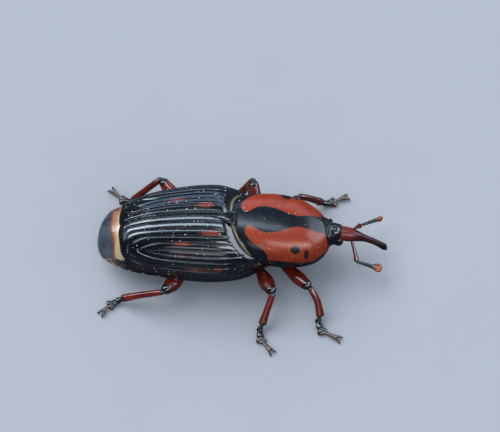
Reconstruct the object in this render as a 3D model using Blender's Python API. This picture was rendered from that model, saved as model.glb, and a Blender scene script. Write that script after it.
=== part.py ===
# Palmetto weevil, a still life-size model of the whole insect in a walking stance.
#
# The model is built in millimetres and set to metres at the end. X points to the head,
# Y to the insect's left and Z up, with the floor under the feet at Z 0. X 0 is where
# the pronotum meets the wing cases.

import math

import bmesh
import bpy
from mathutils import Vector

MM = 0.001
GAP = 0.25            # room between touching plates and segments
FLOOR = 0.0
WELD = 0.0015         # points closer than this are one point
FLAT = math.radians(0.3)

# Prothorax, measured on its midline from the base to the collar
PROTHORAX_BACK = -0.4
PROTHORAX_FRONT = 9.8
PROTHORAX_SLANT_BACK = 3.4    # how far its lower edge lies ahead of its upper one
PROTHORAX_SLANT_FRONT = 0.1
SLANT_DEPTH = 3.2
TURN = 0.15                   # how much further forward the right side lies, per mm outward

# Wing cases
ELYTRON_BACK = -11.45
ELYTRON_THICK = 0.6
ELYTRON_RIDGES = 5            # nested U-shaped ridges on each wing case
RIDGE_HEIGHT = 0.05           # above the shell's own surface, with the grooves between below it
RIDGE_GROOVE = 0.1
# How far back each U reaches, by its place in from the margin
ELYTRON_TIPS = [(0.0, 1.0), (0.1, 0.985), (0.3, 0.968), (0.5, 0.93), (0.7, 0.853), (0.9, 0.771), (1.0, 0.75)]
SUTURE = 0.125                # half the slit between the wing cases

# Hind body below the wing cases
THORAX_BACK = -5.6
ABDOMEN_FRONT = -5.85
ABDOMEN_BACK = -11.4
VENTRITE_GROOVES = (-7.6, -8.7, -9.6, -10.3)    # between the plates of the underside
GROOVE_DEPTH = 0.14
BELLY = 1.5
PYGIDIUM_ARCH = 0.12          # droop of the tail plate's sides, per square of the distance out

# Head and snout
HEAD_CENTRE = (9.85, -0.05, 4.85)
HEAD_RADII = (1.05, 1.0, 1.15)
EYE_CENTRE = (10.35, 0.76, 4.25)
EYE_RADII = (0.45, 0.34, 0.68)
ROSTRUM_PATH = [(10.35, -0.05, 4.8), (11.5, -0.17, 4.6), (12.3, -0.24, 4.3), (13.3, -0.29, 3.7),
                (14.2, -0.35, 2.95), (15.25, -0.5, 1.95)]

# Each leg from the coxa to the claws; the pads are pressed flat on the floor
PAD_HEIGHT = 0.23
LEGS = {
    "right_front": dict(coxa=(4.3, -1.45, 1.75), root=(4.65, -2.1, 1.75), knee=(7.45, -5.25, 3.05),
                        ankle=(8.55, -7.55, 0.95), heel=(8.25, -7.95, 0.45), pad=(8.75, -8.95, PAD_HEIGHT),
                        claw=(10.25, -9.62, 0.42), girth=1.0, bow=0.0, shin_bow=(0.2, 0.1, 0.1)),
    "right_middle": dict(coxa=(1.75, -1.65, 1.75), root=(2.2, -2.35, 1.7), knee=(3.78, -5.95, 3.35),
                         ankle=(2.7, -8.4, 0.95), heel=(2.4, -8.85, 0.45), pad=(2.62, -9.85, PAD_HEIGHT),
                         claw=(3.55, -10.9, 0.42), girth=1.12, bow=0.0),
    "right_hind": dict(coxa=(-4.5, -2.3, 1.8), root=(-4.95, -3.0, 1.6), knee=(-7.1, -5.8, 3.35),
                       ankle=(-11.35, -5.6, 0.95), heel=(-11.85, -5.7, 0.45), pad=(-12.65, -6.1, PAD_HEIGHT),
                       claw=(-13.35, -6.85, 0.42), girth=1.15, bow=0.05),
    "left_front": dict(coxa=(4.3, 1.45, 1.75), root=(4.65, 2.1, 1.75), knee=(6.5, 4.6, 3.3),
                       ankle=(8.9, 4.95, 0.95), heel=(9.25, 5.0, 0.45), pad=(10.2, 5.25, PAD_HEIGHT),
                       claw=(11.4, 5.75, 0.42), girth=1.0, bow=0.0),
    "left_middle": dict(coxa=(1.75, 1.65, 1.75), root=(2.1, 2.4, 1.7), knee=(1.85, 6.0, 4.2),
                        ankle=(0.6, 6.0, 0.95), heel=(0.15, 6.0, 0.45), pad=(-0.85, 6.1, PAD_HEIGHT),
                        claw=(-2.0, 6.45, 0.42), girth=1.0, bow=0.0),
    "left_hind": dict(coxa=(-4.5, 2.3, 1.8), root=(-4.95, 3.0, 1.6), knee=(-7.55, 6.2, 4.0),
                      ankle=(-10.55, 5.2, 0.95), heel=(-10.95, 5.2, 0.45), pad=(-11.8, 5.5, PAD_HEIGHT),
                      claw=(-12.8, 6.5, 0.42), girth=1.1, bow=0.35),
}
COXA_RADIUS = 0.85

# Each feeler from its socket on the snout to the tip of the club
ANTENNAE = {
    "right": dict(socket=(11.7, -0.85, 4.25), elbow=(12.2, -2.5, 3.1), end=(13.68, -2.78, 2.62),
                  tip=(14.75, -2.98, 2.4), wide=0.46, thick=0.27),
    "left": dict(socket=(11.75, 0.4, 4.3), elbow=(12.65, 1.5, 2.95), end=(14.2, 2.25, 2.5),
                 tip=(15.0, 2.58, 2.35), wide=0.26, thick=0.45),
}
FUNICLE_BEADS = 6

# Colour, roughness and metallic value of each material
MATERIALS = {
    "black_chitin": ((0.012, 0.013, 0.016, 1.0), 0.22, 0.0),
    "red_chitin": ((0.42, 0.07, 0.025, 1.0), 0.3, 0.0),
    "dark_red_chitin": ((0.16, 0.02, 0.012, 1.0), 0.28, 0.0),
    "orange_chitin": ((0.55, 0.16, 0.05, 1.0), 0.4, 0.0),
    "eye_black": ((0.006, 0.006, 0.008, 1.0), 0.12, 0.0),
}


def material(name):
    """A plain material with the part's own colour."""
    found = bpy.data.materials.get(name)
    if found:
        return found
    colour, roughness, metallic = MATERIALS[name]
    made = bpy.data.materials.new(name)
    made.use_nodes = True
    shader = made.node_tree.nodes["Principled BSDF"]
    shader.inputs["Base Color"].default_value = colour
    shader.inputs["Roughness"].default_value = roughness
    shader.inputs["Metallic"].default_value = metallic
    made.diffuse_color = colour
    return made


def along(keys, t):
    """The smooth value at t of keys (t, value, value, ...)."""
    last = len(keys) - 1
    if t <= keys[0][0]:
        return keys[0][1:]
    if t >= keys[last][0]:
        return keys[last][1:]
    i = max(k for k in range(last) if keys[k][0] <= t)
    span = keys[i + 1][0] - keys[i][0]
    s = (t - keys[i][0]) / span

    def slope(k, column):
        a, b = max(k - 1, 0), min(k + 1, last)
        return (keys[b][column] - keys[a][column]) / (keys[b][0] - keys[a][0])

    out = []
    for column in range(1, len(keys[0])):
        here, there = keys[i][column], keys[i + 1][column]
        rise, fall = slope(i, column) * span, slope(i + 1, column) * span
        out.append(here * (2 * s**3 - 3 * s**2 + 1) + there * (3 * s**2 - 2 * s**3)
                   + rise * (s**3 - 2 * s**2 + s) + fall * (s**3 - s**2))
    return tuple(out)


def power(value, exponent):
    """A signed power, which squares or pinches a round section."""
    return math.copysign(abs(value) ** exponent, value)


def make_object(name, bm, material_name):
    """Close the bmesh into an object of the weevil collection."""
    bmesh.ops.remove_doubles(bm, verts=bm.verts, dist=0.002)
    bmesh.ops.recalc_face_normals(bm, faces=bm.faces)
    bmesh.ops.triangulate(bm, faces=bm.faces)
    mesh = bpy.data.meshes.new(name)
    bm.to_mesh(mesh)
    bm.free()
    mesh.materials.append(material(material_name))
    obj = bpy.data.objects.new(name, mesh)
    weevil.objects.link(obj)
    return obj


def loft(name, rings, material_name):
    """A closed solid through rings of equal length; a ring of one point is a pole."""
    bm = bmesh.new()
    loops = [[bm.verts.new(point) for point in ring] for ring in rings]
    for end in (0, -1):
        if len(loops[end]) > 1:
            middle = sum((v.co for v in loops[end]), Vector()) / len(loops[end])
            pole = [bm.verts.new(middle)]
            loops.insert(0, pole) if end == 0 else loops.append(pole)
    for one, two in zip(loops, loops[1:]):
        count = max(len(one), len(two))
        for i in range(count):
            j = (i + 1) % count
            corners = [one[i % len(one)], one[j % len(one)], two[j % len(two)], two[i % len(two)]]
            bm.faces.new(list(dict.fromkeys(corners)))
    return make_object(name, bm, material_name)


def curve_point(path, t):
    """A point on the smooth curve through the path's points, by arc length."""
    points = [Vector(p) for p in path]
    lengths = [0.0]
    for a, b in zip(points, points[1:]):
        lengths.append(lengths[-1] + (b - a).length)
    keys = [(length / lengths[-1], *point) for length, point in zip(lengths, points)]
    return Vector(along(keys, t))


def limb(name, path, sizes, material_name, caps=(0.4, 0.4), steps=6, sides=10, squareness=2.0,
         floor=None):
    """A rounded, tapering segment along a path; sizes hold (t, half width, half height)."""
    length = sum((Vector(b) - Vector(a)).length for a, b in zip(path, path[1:]))
    rounding = (0.0, 0.12, 0.45)
    stations = [c * caps[0] / length for c in rounding]
    first, final = caps[0] / length, 1 - caps[1] / length
    stations += [first + (final - first) * k / steps for k in range(steps + 1)]
    stations += [1 - c * caps[1] / length for c in reversed(rounding)]
    rings = []
    for t in stations:
        centre = curve_point(path, t)
        ahead = (curve_point(path, min(t + 0.02, 1)) - curve_point(path, max(t - 0.02, 0))).normalized()
        side = ahead.cross(Vector((0, 0, 1))).normalized()
        lift = side.cross(ahead)
        near = min(t * length / caps[0], (1 - t) * length / caps[1], 1.0)
        if near < 0.01:
            rings.append([centre])
            continue
        shrink = math.sqrt(max(1 - (1 - near) ** 2, 0))
        width, height = (s * shrink for s in along(sizes, t))
        ring = []
        for k in range(sides):
            angle = 2 * math.pi * (k + 0.5) / sides
            across = power(math.cos(angle), 2 / squareness) * width
            up = power(math.sin(angle), 2 / squareness) * height
            point = centre + side * across + lift * up
            if floor is not None:
                point.z = max(point.z, floor)
            ring.append(point)
        rings.append(ring)
    return loft(name, rings, material_name)


def ball(name, centre, radii, material_name, segments=14, rows=9):
    """An ellipsoid."""
    bm = bmesh.new()
    bmesh.ops.create_uvsphere(bm, u_segments=segments, v_segments=rows, radius=1.0)
    for vert in bm.verts:
        vert.co = Vector([c + r * p for c, r, p in zip(centre, radii, vert.co)])
    return make_object(name, bm, material_name)


def keep_largest(bm):
    """Leave only the largest closed surface."""
    left, islands = set(bm.faces), []
    while left:
        island, edge = set(), [left.pop()]
        while edge:
            face = edge.pop()
            island.add(face)
            for link in face.edges:
                for other in link.link_faces:
                    if other in left:
                        left.discard(other)
                        edge.append(other)
        islands.append(island)

    def volume(island):
        total = 0.0
        for face in island:
            corners = [v.co for v in face.verts]
            total += sum(corners[0].dot(a.cross(b)) for a, b in zip(corners[1:], corners[2:]))
        return total

    islands.sort(key=volume)
    scraps = [face for island in islands[:-1] for face in island]
    bmesh.ops.delete(bm, geom=scraps, context="FACES")


def solved(obj, change, solver):
    """The solid that a Boolean gives, and whether it is closed."""
    change.solver = solver
    bpy.context.view_layer.update()
    result = obj.evaluated_get(bpy.context.evaluated_depsgraph_get())
    mesh = bpy.data.meshes.new_from_object(result)
    bm = bmesh.new()
    bm.from_mesh(mesh)
    bpy.data.meshes.remove(mesh)
    bmesh.ops.remove_doubles(bm, verts=bm.verts, dist=WELD)
    bmesh.ops.dissolve_degenerate(bm, edges=bm.edges, dist=WELD)
    bmesh.ops.dissolve_limit(bm, angle_limit=FLAT, verts=bm.verts, edges=bm.edges)
    bmesh.ops.triangulate(bm, faces=bm.faces)
    keep_largest(bm)
    return bm, bm.faces and all(len(edge.link_faces) == 2 for edge in bm.edges)


def combine(obj, tools, operation):
    """Apply one Boolean with all the tools, which are then removed."""
    group = bpy.data.collections.new("tools")
    bpy.context.scene.collection.children.link(group)
    for tool in tools:
        group.objects.link(tool)
    change = obj.modifiers.new("combine", "BOOLEAN")
    change.operation = operation
    change.operand_type = "COLLECTION"
    change.collection = group
    bm, closed = solved(obj, change, "EXACT")
    if not closed:
        bm.free()
        bm, closed = solved(obj, change, "MANIFOLD")
    obj.modifiers.clear()
    bm.to_mesh(obj.data)
    bm.free()
    for tool in tools:
        bpy.data.objects.remove(tool)
    bpy.data.collections.remove(group)


def fuse(obj, *pieces):
    """Join pieces to the object they grow from."""
    combine(obj, list(pieces), "UNION")


def grown(obj):
    """A copy of a solid, larger all round by the gap."""
    bm = bmesh.new()
    bm.from_mesh(obj.data)
    bm.normal_update()
    shifts = [v.normal * GAP * min(v.calc_shell_factor(), 1.6) for v in bm.verts]
    for vert, shift in zip(bm.verts, shifts):
        vert.co += shift
    copy = bpy.data.objects.new(obj.name + "_room", bpy.data.meshes.new(obj.name + "_room"))
    bm.to_mesh(copy.data)
    bm.free()
    return copy


def make_room(obj, neighbours, rooms):
    """Cut an object clear of its neighbours by the gap."""
    combine(obj, [rooms[name].copy() for name in neighbours], "DIFFERENCE")


def superellipse(angle, half_width, up, down, squareness):
    """A point (y, z) on a flattened oval whose upper and lower halves differ."""
    y = half_width * power(math.cos(angle), 2 / squareness)
    half = up if math.sin(angle) > 0 else down
    return y, half * power(math.sin(angle), 2 / squareness)


def slant(amount, drop):
    """How far forward a point lies that is this far below the back."""
    return amount * (1 - math.exp(-drop / SLANT_DEPTH))


def build_prothorax():
    """The shield behind the head, with its narrow collar."""
    # Station on the back's midline, half width, height of the widest line, top, bottom
    stations = [(-0.4, 3.3, 5.3, 8.1, 2.1), (0.6, 3.48, 5.4, 8.35, 1.9), (2.0, 3.6, 5.4, 8.4, 1.7),
                (3.6, 3.62, 5.4, 8.25, 1.65), (5.2, 3.48, 5.3, 7.95, 1.8), (6.8, 3.12, 5.1, 7.5, 2.2),
                (8.0, 2.5, 4.95, 6.95, 2.7), (8.8, 1.8, 4.9, 6.5, 3.2), (9.1, 1.45, 4.9, 6.25, 3.5),
                (9.8, 1.2, 4.9, 6.15, 3.7)]
    places = [-0.4, -0.1, 0.6, 1.6, 2.8, 4.0, 5.2, 6.2, 7.1, 7.8, 8.4, 8.8, 9.1, PROTHORAX_FRONT]
    rings = []
    for x in places:
        width, middle, top, bottom = along(stations, x)
        share = (x - PROTHORAX_BACK) / (PROTHORAX_FRONT - PROTHORAX_BACK)
        amount = PROTHORAX_SLANT_BACK + (PROTHORAX_SLANT_FRONT - PROTHORAX_SLANT_BACK) * share
        ring = []
        for k in range(24):
            y, dz = superellipse(2 * math.pi * (k + 0.5) / 24, width, top - middle, middle - bottom, 2.3)
            z = middle + dz
            ring.append(Vector((x + slant(amount, top - z) - TURN * y, y, z)))
        rings.append(ring)
    return loft("prothorax", rings, "red_chitin")


# Half width, top and margin height of the wing cases along X
ELYTRA_PROFILE = [(-11.5, 2.9, 6.35, 4.55), (-10.9, 3.2, 6.85, 4.45), (-10.0, 3.5, 7.4, 4.4),
                  (-8.7, 3.9, 8.05, 4.35), (-7.0, 4.25, 8.6, 4.35), (-5.0, 4.55, 8.9, 4.35),
                  (-3.0, 4.75, 9.0, 4.35), (-1.0, 4.78, 8.8, 4.4), (0.6, 4.4, 8.3, 4.5),
                  (1.9, 3.85, 7.8, 4.6)]
# Front edge of a wing case from the suture round to the side
ELYTRON_FRONT = [(0.0, -0.55), (0.3, -0.2), (0.55, 0.65), (0.75, 1.75), (0.88, 1.65), (1.0, 0.75)]


def elytron_point(v, f, depth, flip):
    """A point of a wing case: v runs back, f from the suture to the side margin."""
    front = along(ELYTRON_FRONT, f)[0]
    x = front + (ELYTRON_BACK + 1.1 * f**3 - front) * v
    width, top, margin = along(ELYTRA_PROFILE, x)
    angle = f * math.pi / 2
    y = SUTURE + (width - depth - SUTURE) * math.sin(angle) ** 0.88
    z = margin + (top - depth - margin) * math.cos(angle) ** 0.88
    return Vector((x - flip * TURN * y * (1 - v) ** 2, flip * y, z))


def elytron_loop(r, height, depth, flip):
    """One U round the wing case, from the base by the suture to the base by the side."""
    tip = along(ELYTRON_TIPS, r)[0]
    turn = 0.1 + 0.14 * r
    half = 0.5 * (1 - r)
    arm = [(tip - turn) * k / 12 for k in range(12)]
    path = [(v, 0.5 - half) for v in arm]
    for k in range(14):
        # Square by the suture and round by the margin at the outer loops, pointed at the inner ones
        angle = math.pi * k / 13
        pinch = 0.16 + 1.24 * min(1.6 * r, 1) if k < 7 else 0.5 + 0.9 * r
        back, across = abs(math.sin(angle)), math.cos(angle)
        reach = (back ** (2 / pinch) + abs(across) ** (2 / pinch)) ** (-pinch / 2)
        path.append((tip - turn + turn * back * reach, 0.5 - half * across * reach))
    path += [(v, 0.5 + half) for v in reversed(arm)]
    return [elytron_point(v, f, depth - height * min(v / 0.1, 1), flip) for v, f in path]


def zip_edges(bm, one, two):
    """Triangles between two rows of points with unlike counts."""
    i = j = 0
    while i < len(one) - 1 or j < len(two) - 1:
        ahead_one = (i + 1) / (len(one) - 1) if i < len(one) - 1 else 2
        ahead_two = (j + 1) / (len(two) - 1) if j < len(two) - 1 else 2
        if ahead_one <= ahead_two:
            bm.faces.new((one[i], one[i + 1], two[j]))
            i += 1
        else:
            bm.faces.new((one[i], two[j + 1], two[j]))
            j += 1


def build_elytron(side):
    """A wing case: a thin shell with ridges that nest round its tip."""
    bm = bmesh.new()
    rows = 2 * ELYTRON_RIDGES
    flip = 1 if side == "left" else -1
    outer = [elytron_loop(k / rows, -RIDGE_GROOVE if k % 2 else RIDGE_HEIGHT, 0.0, flip) for k in range(rows)]
    inner = [elytron_loop(k / 3, 0.0, ELYTRON_THICK, flip) for k in range(3)]
    sheets = []
    for loops in (outer, inner):
        sheet = [[bm.verts.new(point) for point in loop] for loop in loops]
        for one, two in zip(sheet, sheet[1:]):
            for k in range(len(one) - 1):
                bm.faces.new((one[k], one[k + 1], two[k + 1], two[k]))
        last = sheet[-1]
        for k in range(len(last) // 2 - 1):
            bm.faces.new((last[k], last[k + 1], last[-2 - k], last[-1 - k]))
        sheets.append(sheet)
    for k in range(len(outer[0]) - 1):
        bm.faces.new((sheets[0][0][k], sheets[0][0][k + 1], sheets[1][0][k + 1], sheets[1][0][k]))
    fronts = [[loop[0] for loop in sheet] + [loop[-1] for loop in reversed(sheet)] for sheet in sheets]
    zip_edges(bm, *fronts)
    return make_object("elytron_" + side, bm, "black_chitin")


def build_scutellum():
    """The small long triangle between the wing cases."""
    outline = [(-0.05, 0.58), (-0.45, 0.58), (-0.9, 0.45), (-1.4, 0.26), (-1.85, 0.07)]
    rings = []
    for x, width in outline:
        top = along(ELYTRA_PROFILE, x)[1] + 0.06
        rings.append([Vector((x, -width, top - 0.12)), Vector((x, 0, top)), Vector((x, width, top - 0.12)),
                      Vector((x, width, top - 0.7)), Vector((x, -width, top - 0.7))])
    return loft("scutellum", rings, "black_chitin")


def hind_ring(x, sides=8):
    """The outline of the hind body at X: a broad underside, and a vault below the wing cases."""
    width, top, margin = along(ELYTRA_PROFILE, x)
    # Half width of the flank, its height, and the height of the belly
    flank, level, belly = along([(-11.5, 1.95, 3.1, 2.4), (-11.0, 2.6, 3.05, 2.1), (-10.0, 3.25, 3.0, 1.8),
                                 (-8.0, 3.9, 2.9, 1.6),
                                 (-5.0, 4.35, 2.8, BELLY), (-2.0, 4.5, 2.7, BELLY), (1.0, 4.1, 2.8, BELLY),
                                 (3.2, 3.0, 3.0, 1.7)], x)
    if x in VENTRITE_GROOVES:
        flank, belly = flank - GROOVE_DEPTH, belly + GROOVE_DEPTH
    roof = ELYTRON_THICK + GAP + 0.05
    half = [(0, belly), (0.35 * flank, belly + 0.06), (0.7 * flank, belly + 0.4), (flank, level),
            (flank - 0.05, margin - GAP - 0.5), (flank - 0.3, margin - GAP - 0.05),
            (width - roof, margin - GAP - 0.05)]
    for k in range(1, sides):
        angle = math.pi / 2 * (1 - k / (sides - 1))
        half.append(((width - roof) * math.sin(angle) ** 0.88,
                     margin + (top - roof - margin) * math.cos(angle) ** 0.88))
    right = [(-y, z) for y, z in reversed(half[1:-1])]
    return [(y, z) for y, z in half] + right


def build_hind_body(name, places, lean):
    """A length of the hind body; lean slants its hind end like the tail plate."""
    rings = []
    for x in places:
        top = along(ELYTRA_PROFILE, x)[1]
        rings.append([Vector((x - lean(x) * (top - z), y, z)) for y, z in hind_ring(x)])
    return loft(name, rings, "black_chitin")


def build_abdomen():
    """The hind body behind the legs, slanting off below the tail plate."""
    def lean(x):
        return 0.42 * max(0.0, min(1.0, (-8.0 - x) / 3.2))

    places = [ABDOMEN_FRONT]
    for groove in VENTRITE_GROOVES:
        places += [groove + 0.2, groove, groove - 0.2]
    return build_hind_body("abdomen", places + [-10.7, -11.1, ABDOMEN_BACK], lean)


def build_thorax():
    """The middle and hind thorax, which carry the wing cases and four of the legs."""
    places = [3.2, 2.3, 1.3, 0.3, -0.8, -2.0, -3.2, -4.4, THORAX_BACK]
    return build_hind_body("thorax", places, lambda x: 0.0)


def build_pygidium():
    """The bare last plate of the back, behind the wing cases."""
    path = [(-10.75, 0.03, 5.67), (-12.0, -0.3, 4.85), (-12.95, -0.6, 3.5), (-13.5, -0.75, 1.9)]
    sizes = [(0, 2.2, 0.45), (0.13, 2.6, 0.5), (0.24, 2.7, 0.55), (0.475, 2.15, 0.6), (0.65, 1.75, 0.56),
             (0.86, 1.3, 0.5), (1, 1.05, 0.42)]
    plate = limb("pygidium", path, sizes, "orange_chitin", caps=(0.15, 0.6), steps=8, sides=20, squareness=2.2)
    # Its sides droop, most where the wing cases end and not at all at its tip
    for vert in plate.data.vertices:
        share = along([(-13.3, 0.0), (-12.3, 1.0)], vert.co.x)[0]
        vert.co.z -= PYGIDIUM_ARCH * share * vert.co.y**2
    return plate


def build_rostrum():
    """The long downcurved snout."""
    sizes = [(0, 0.72, 0.72), (0.2, 0.7, 0.68), (0.33, 0.52, 0.52), (0.45, 0.37, 0.38), (0.7, 0.3, 0.32),
             (0.92, 0.3, 0.3), (1, 0.3, 0.28)]
    return limb("rostrum", ROSTRUM_PATH, sizes, "dark_red_chitin", caps=(0.3, 0.25), steps=11, sides=12)


def build_leg(name):
    """Coxa, femur, tibia and foot of one leg."""
    leg = LEGS[name]
    girth = leg["girth"]
    coxa = ball("coxa_" + name, leg["coxa"], (COXA_RADIUS, COXA_RADIUS, 0.8), "black_chitin", 12, 8)
    root, knee, ankle = Vector(leg["root"]), Vector(leg["knee"]), Vector(leg["ankle"])
    thigh = [(0, 0.42, 0.42), (0.25, 0.52, 0.55), (0.6, 0.68 * girth, 0.7 * girth),
             (0.85, 0.55, 0.58), (1, 0.46, 0.48)]
    middle = root.lerp(knee, 0.6) + Vector((0, 0, leg["bow"]))
    femur = limb("femur_" + name, [root, middle, knee], thigh, "dark_red_chitin", caps=(0.35, 0.45), steps=5)
    shank = [(0, 0.27, 0.29), (0.18, 0.33, 0.37), (0.6, 0.33, 0.37), (0.9, 0.39, 0.43), (1, 0.39, 0.42)]
    ahead = (ankle - knee).normalized()
    bend = knee.lerp(ankle, 0.5) + Vector(leg.get("shin_bow", (0, 0, 0.12)))
    tibia = limb("tibia_" + name, [knee + ahead * 0.1, bend, ankle], shank, "dark_red_chitin",
                 caps=(0.3, 0.2), steps=5, sides=8)
    inward = (Vector(leg["coxa"]) - ankle).normalized()
    hook = [ankle - ahead * 0.35 + inward * 0.15, ankle + inward * 0.45 - ahead * 0.05,
            ankle + inward * 0.7 + ahead * 0.25]
    spur = limb("spur", hook, [(0, 0.16, 0.16), (1, 0.09, 0.09)], "black_chitin", caps=(0.05, 0.12),
                steps=2, sides=5)
    fuse(tibia, spur)
    return coxa, femur, tibia, build_tarsus(name, ankle)


def build_tarsus(name, ankle):
    """A foot: two small segments, a broad padded one, then the claw segment and its claws."""
    leg = LEGS[name]
    heel, pad, claw = Vector(leg["heel"]), Vector(leg["pad"]), Vector(leg["claw"])
    start = ankle + (heel - ankle).normalized() * 0.25
    path = [start, heel, heel.lerp(pad, 0.5), pad, pad.lerp(claw, 0.3) + Vector((0, 0, 0.08)), claw]
    lengths = [0.0]
    for a, b in zip(path, path[1:]):
        lengths.append(lengths[-1] + (b - a).length)
    at = [length / lengths[-1] for length in lengths]
    sizes = [(0, 0.26, 0.26), (at[1], 0.36, 0.34), (at[1] + 0.09, 0.26, 0.26), (at[2], 0.4, 0.34),
             (at[2] + 0.08, 0.28, 0.28), (at[3] - 0.02, 0.64, 0.32), (at[3] + 0.07, 0.5, 0.28),
             (at[4] - 0.02, 0.25, 0.25), (0.93, 0.25, 0.25), (1, 0.28, 0.26)]
    foot = limb("tarsus_" + name, path, sizes, "black_chitin", caps=(0.15, 0.2), steps=15, sides=8,
                floor=FLOOR)
    forward = (claw - pad).normalized()
    across = forward.cross(Vector((0, 0, 1))).normalized()
    claws = []
    for turn in (-1, 1):
        base = claw - forward * 0.22 + across * turn * 0.1
        middle = claw + forward * 0.22 + across * turn * 0.24
        tip = claw + forward * 0.4 + across * turn * 0.36
        middle.z, tip.z = 0.34, 0.09
        claws.append(limb("claw", [base, middle, tip], [(0, 0.15, 0.15), (0.6, 0.1, 0.1), (1, 0.06, 0.06)],
                          "black_chitin", caps=(0.05, 0.06), steps=3, sides=5, floor=FLOOR))
    fuse(foot, *claws)
    return foot


def build_antenna(side):
    """Scape, beaded funicle and axe-shaped club of one feeler."""
    feeler = ANTENNAE[side]
    socket, elbow, end, tip = (Vector(feeler[k]) for k in ("socket", "elbow", "end", "tip"))
    scape = limb("scape_" + side, [socket, socket.lerp(elbow, 0.5) + Vector((0, 0, 0.1)), elbow],
                 [(0, 0.25, 0.25), (0.6, 0.26, 0.26), (1, 0.32, 0.32)], "dark_red_chitin",
                 caps=(0.15, 0.2), steps=4, sides=8)
    beads = []
    for k in range(FUNICLE_BEADS):
        beads += [(k / FUNICLE_BEADS, 0.25, 0.25), ((k + 0.6) / FUNICLE_BEADS, 0.31, 0.31)]
    beads.append((1, 0.25, 0.25))
    ahead = (end - elbow).normalized()
    funicle = limb("funicle_" + side, [elbow + ahead * 0.35, end], beads, "dark_red_chitin",
                   caps=(0.08, 0.08), steps=2 * FUNICLE_BEADS, sides=8)
    wide, thick = feeler["wide"], feeler["thick"]
    club = limb("club_" + side, [end + ahead * 0.27, tip],
                [(0, 0.25, 0.25), (0.4, 0.9 * wide, 0.9 * thick), (0.7, wide, thick), (1, wide, thick)],
                "orange_chitin", caps=(0.1, 0.35), steps=4, sides=12)
    return scape, funicle, club


def set_on_floor(objects):
    """Move the origin to the middle of the model's footprint on the floor, in metres."""
    points = [vert.co for obj in objects for vert in obj.data.vertices]
    middle = [(min(p[k] for p in points) + max(p[k] for p in points)) / 2 for k in (0, 1)]
    low = min(p.z for p in points)
    for obj in objects:
        for vert in obj.data.vertices:
            vert.co = (vert.co - Vector((middle[0], middle[1], low))) * MM
        obj.data.shade_smooth()
        obj.data.set_sharp_from_angle(angle=math.radians(40))


def build_weevil():
    prothorax = build_prothorax()
    thorax, abdomen, pygidium = build_thorax(), build_abdomen(), build_pygidium()
    elytra = [build_elytron("left"), build_elytron("right")]
    scutellum = build_scutellum()
    head = ball("head", HEAD_CENTRE, HEAD_RADII, "black_chitin", 18, 12)
    eyes = []
    for side, flip in (("left", 1), ("right", -1)):
        centre = (EYE_CENTRE[0], HEAD_CENTRE[1] + EYE_CENTRE[1] * flip, EYE_CENTRE[2])
        eyes.append(ball("eye_" + side, centre, EYE_RADII, "eye_black", 12, 8))
    rostrum = build_rostrum()
    antennae = [build_antenna(side) for side in ANTENNAE]
    legs = [build_leg(name) for name in LEGS]

    # Each piece gives way to the whole, uncut shape of those that it lies against
    rooms = {obj.name: grown(obj) for obj in weevil.objects}
    for elytron in elytra:
        make_room(elytron, ["prothorax", "scutellum"], rooms)
    make_room(scutellum, ["prothorax"], rooms)
    make_room(pygidium, ["elytron_left", "elytron_right"], rooms)
    make_room(head, ["prothorax", "eye_left", "eye_right"], rooms)
    make_room(rostrum, ["head"], rooms)
    for eye in eyes:
        make_room(eye, ["rostrum", "prothorax"], rooms)
    for scape, funicle, club in antennae:
        make_room(scape, ["rostrum"], rooms)
        make_room(funicle, [scape.name], rooms)
        make_room(club, [funicle.name], rooms)
    for coxa, femur, tibia, tarsus in legs:
        make_room(femur, [coxa.name], rooms)
        make_room(tibia, [femur.name], rooms)
        make_room(tarsus, [tibia.name], rooms)

    def roots(*places):
        return [piece + place for place in places for piece in ("coxa_", "femur_")]

    make_room(prothorax, roots("right_front", "left_front", "right_middle", "left_middle"), rooms)
    make_room(thorax, ["prothorax", *roots("right_middle", "left_middle", "right_hind", "left_hind")], rooms)
    make_room(abdomen, ["pygidium", *roots("right_hind", "left_hind")], rooms)
    for room in rooms.values():
        bpy.data.objects.remove(room)

    set_on_floor(weevil.objects)


for old in list(bpy.data.objects):
    bpy.data.objects.remove(old)
weevil = bpy.data.collections.new("palmetto_weevil")
bpy.context.scene.collection.children.link(weevil)
build_weevil()
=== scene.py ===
# Palmetto weevil, still and life-size: its finished plates, limbs, hairs, lights and camera.
# Shapes are worked out in body millimetres: X ahead, Y to the insect's left, Z up from the
# floor, with X 0 where the pronotum meets the wing cases.

import math

import bmesh
import bpy
import numpy as np
from mathutils import Matrix, Vector


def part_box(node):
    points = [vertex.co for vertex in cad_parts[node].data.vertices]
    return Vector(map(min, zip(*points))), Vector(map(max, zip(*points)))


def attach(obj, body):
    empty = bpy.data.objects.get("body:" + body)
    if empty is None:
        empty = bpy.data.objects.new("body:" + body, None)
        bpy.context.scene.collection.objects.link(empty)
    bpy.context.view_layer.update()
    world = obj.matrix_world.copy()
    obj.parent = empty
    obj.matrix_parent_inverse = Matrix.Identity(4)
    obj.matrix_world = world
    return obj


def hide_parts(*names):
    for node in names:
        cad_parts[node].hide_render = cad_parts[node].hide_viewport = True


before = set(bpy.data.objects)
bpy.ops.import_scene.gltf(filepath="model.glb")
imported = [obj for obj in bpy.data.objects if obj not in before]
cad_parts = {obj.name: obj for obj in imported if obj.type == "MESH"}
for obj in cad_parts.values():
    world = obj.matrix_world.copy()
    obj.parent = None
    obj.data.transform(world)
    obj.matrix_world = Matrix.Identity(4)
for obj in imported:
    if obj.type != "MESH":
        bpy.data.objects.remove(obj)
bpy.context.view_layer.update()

mm = 0.001
frontCoxa = Vector((4.3, -1.45, 1.75))    # the middle of the right front coxa, which places the body
low, high = (Vector(corner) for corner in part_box("coxa_right_front"))
bodyOrigin = np.array((low + high) / 2 - frontCoxa * mm)


# Shapes

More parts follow.
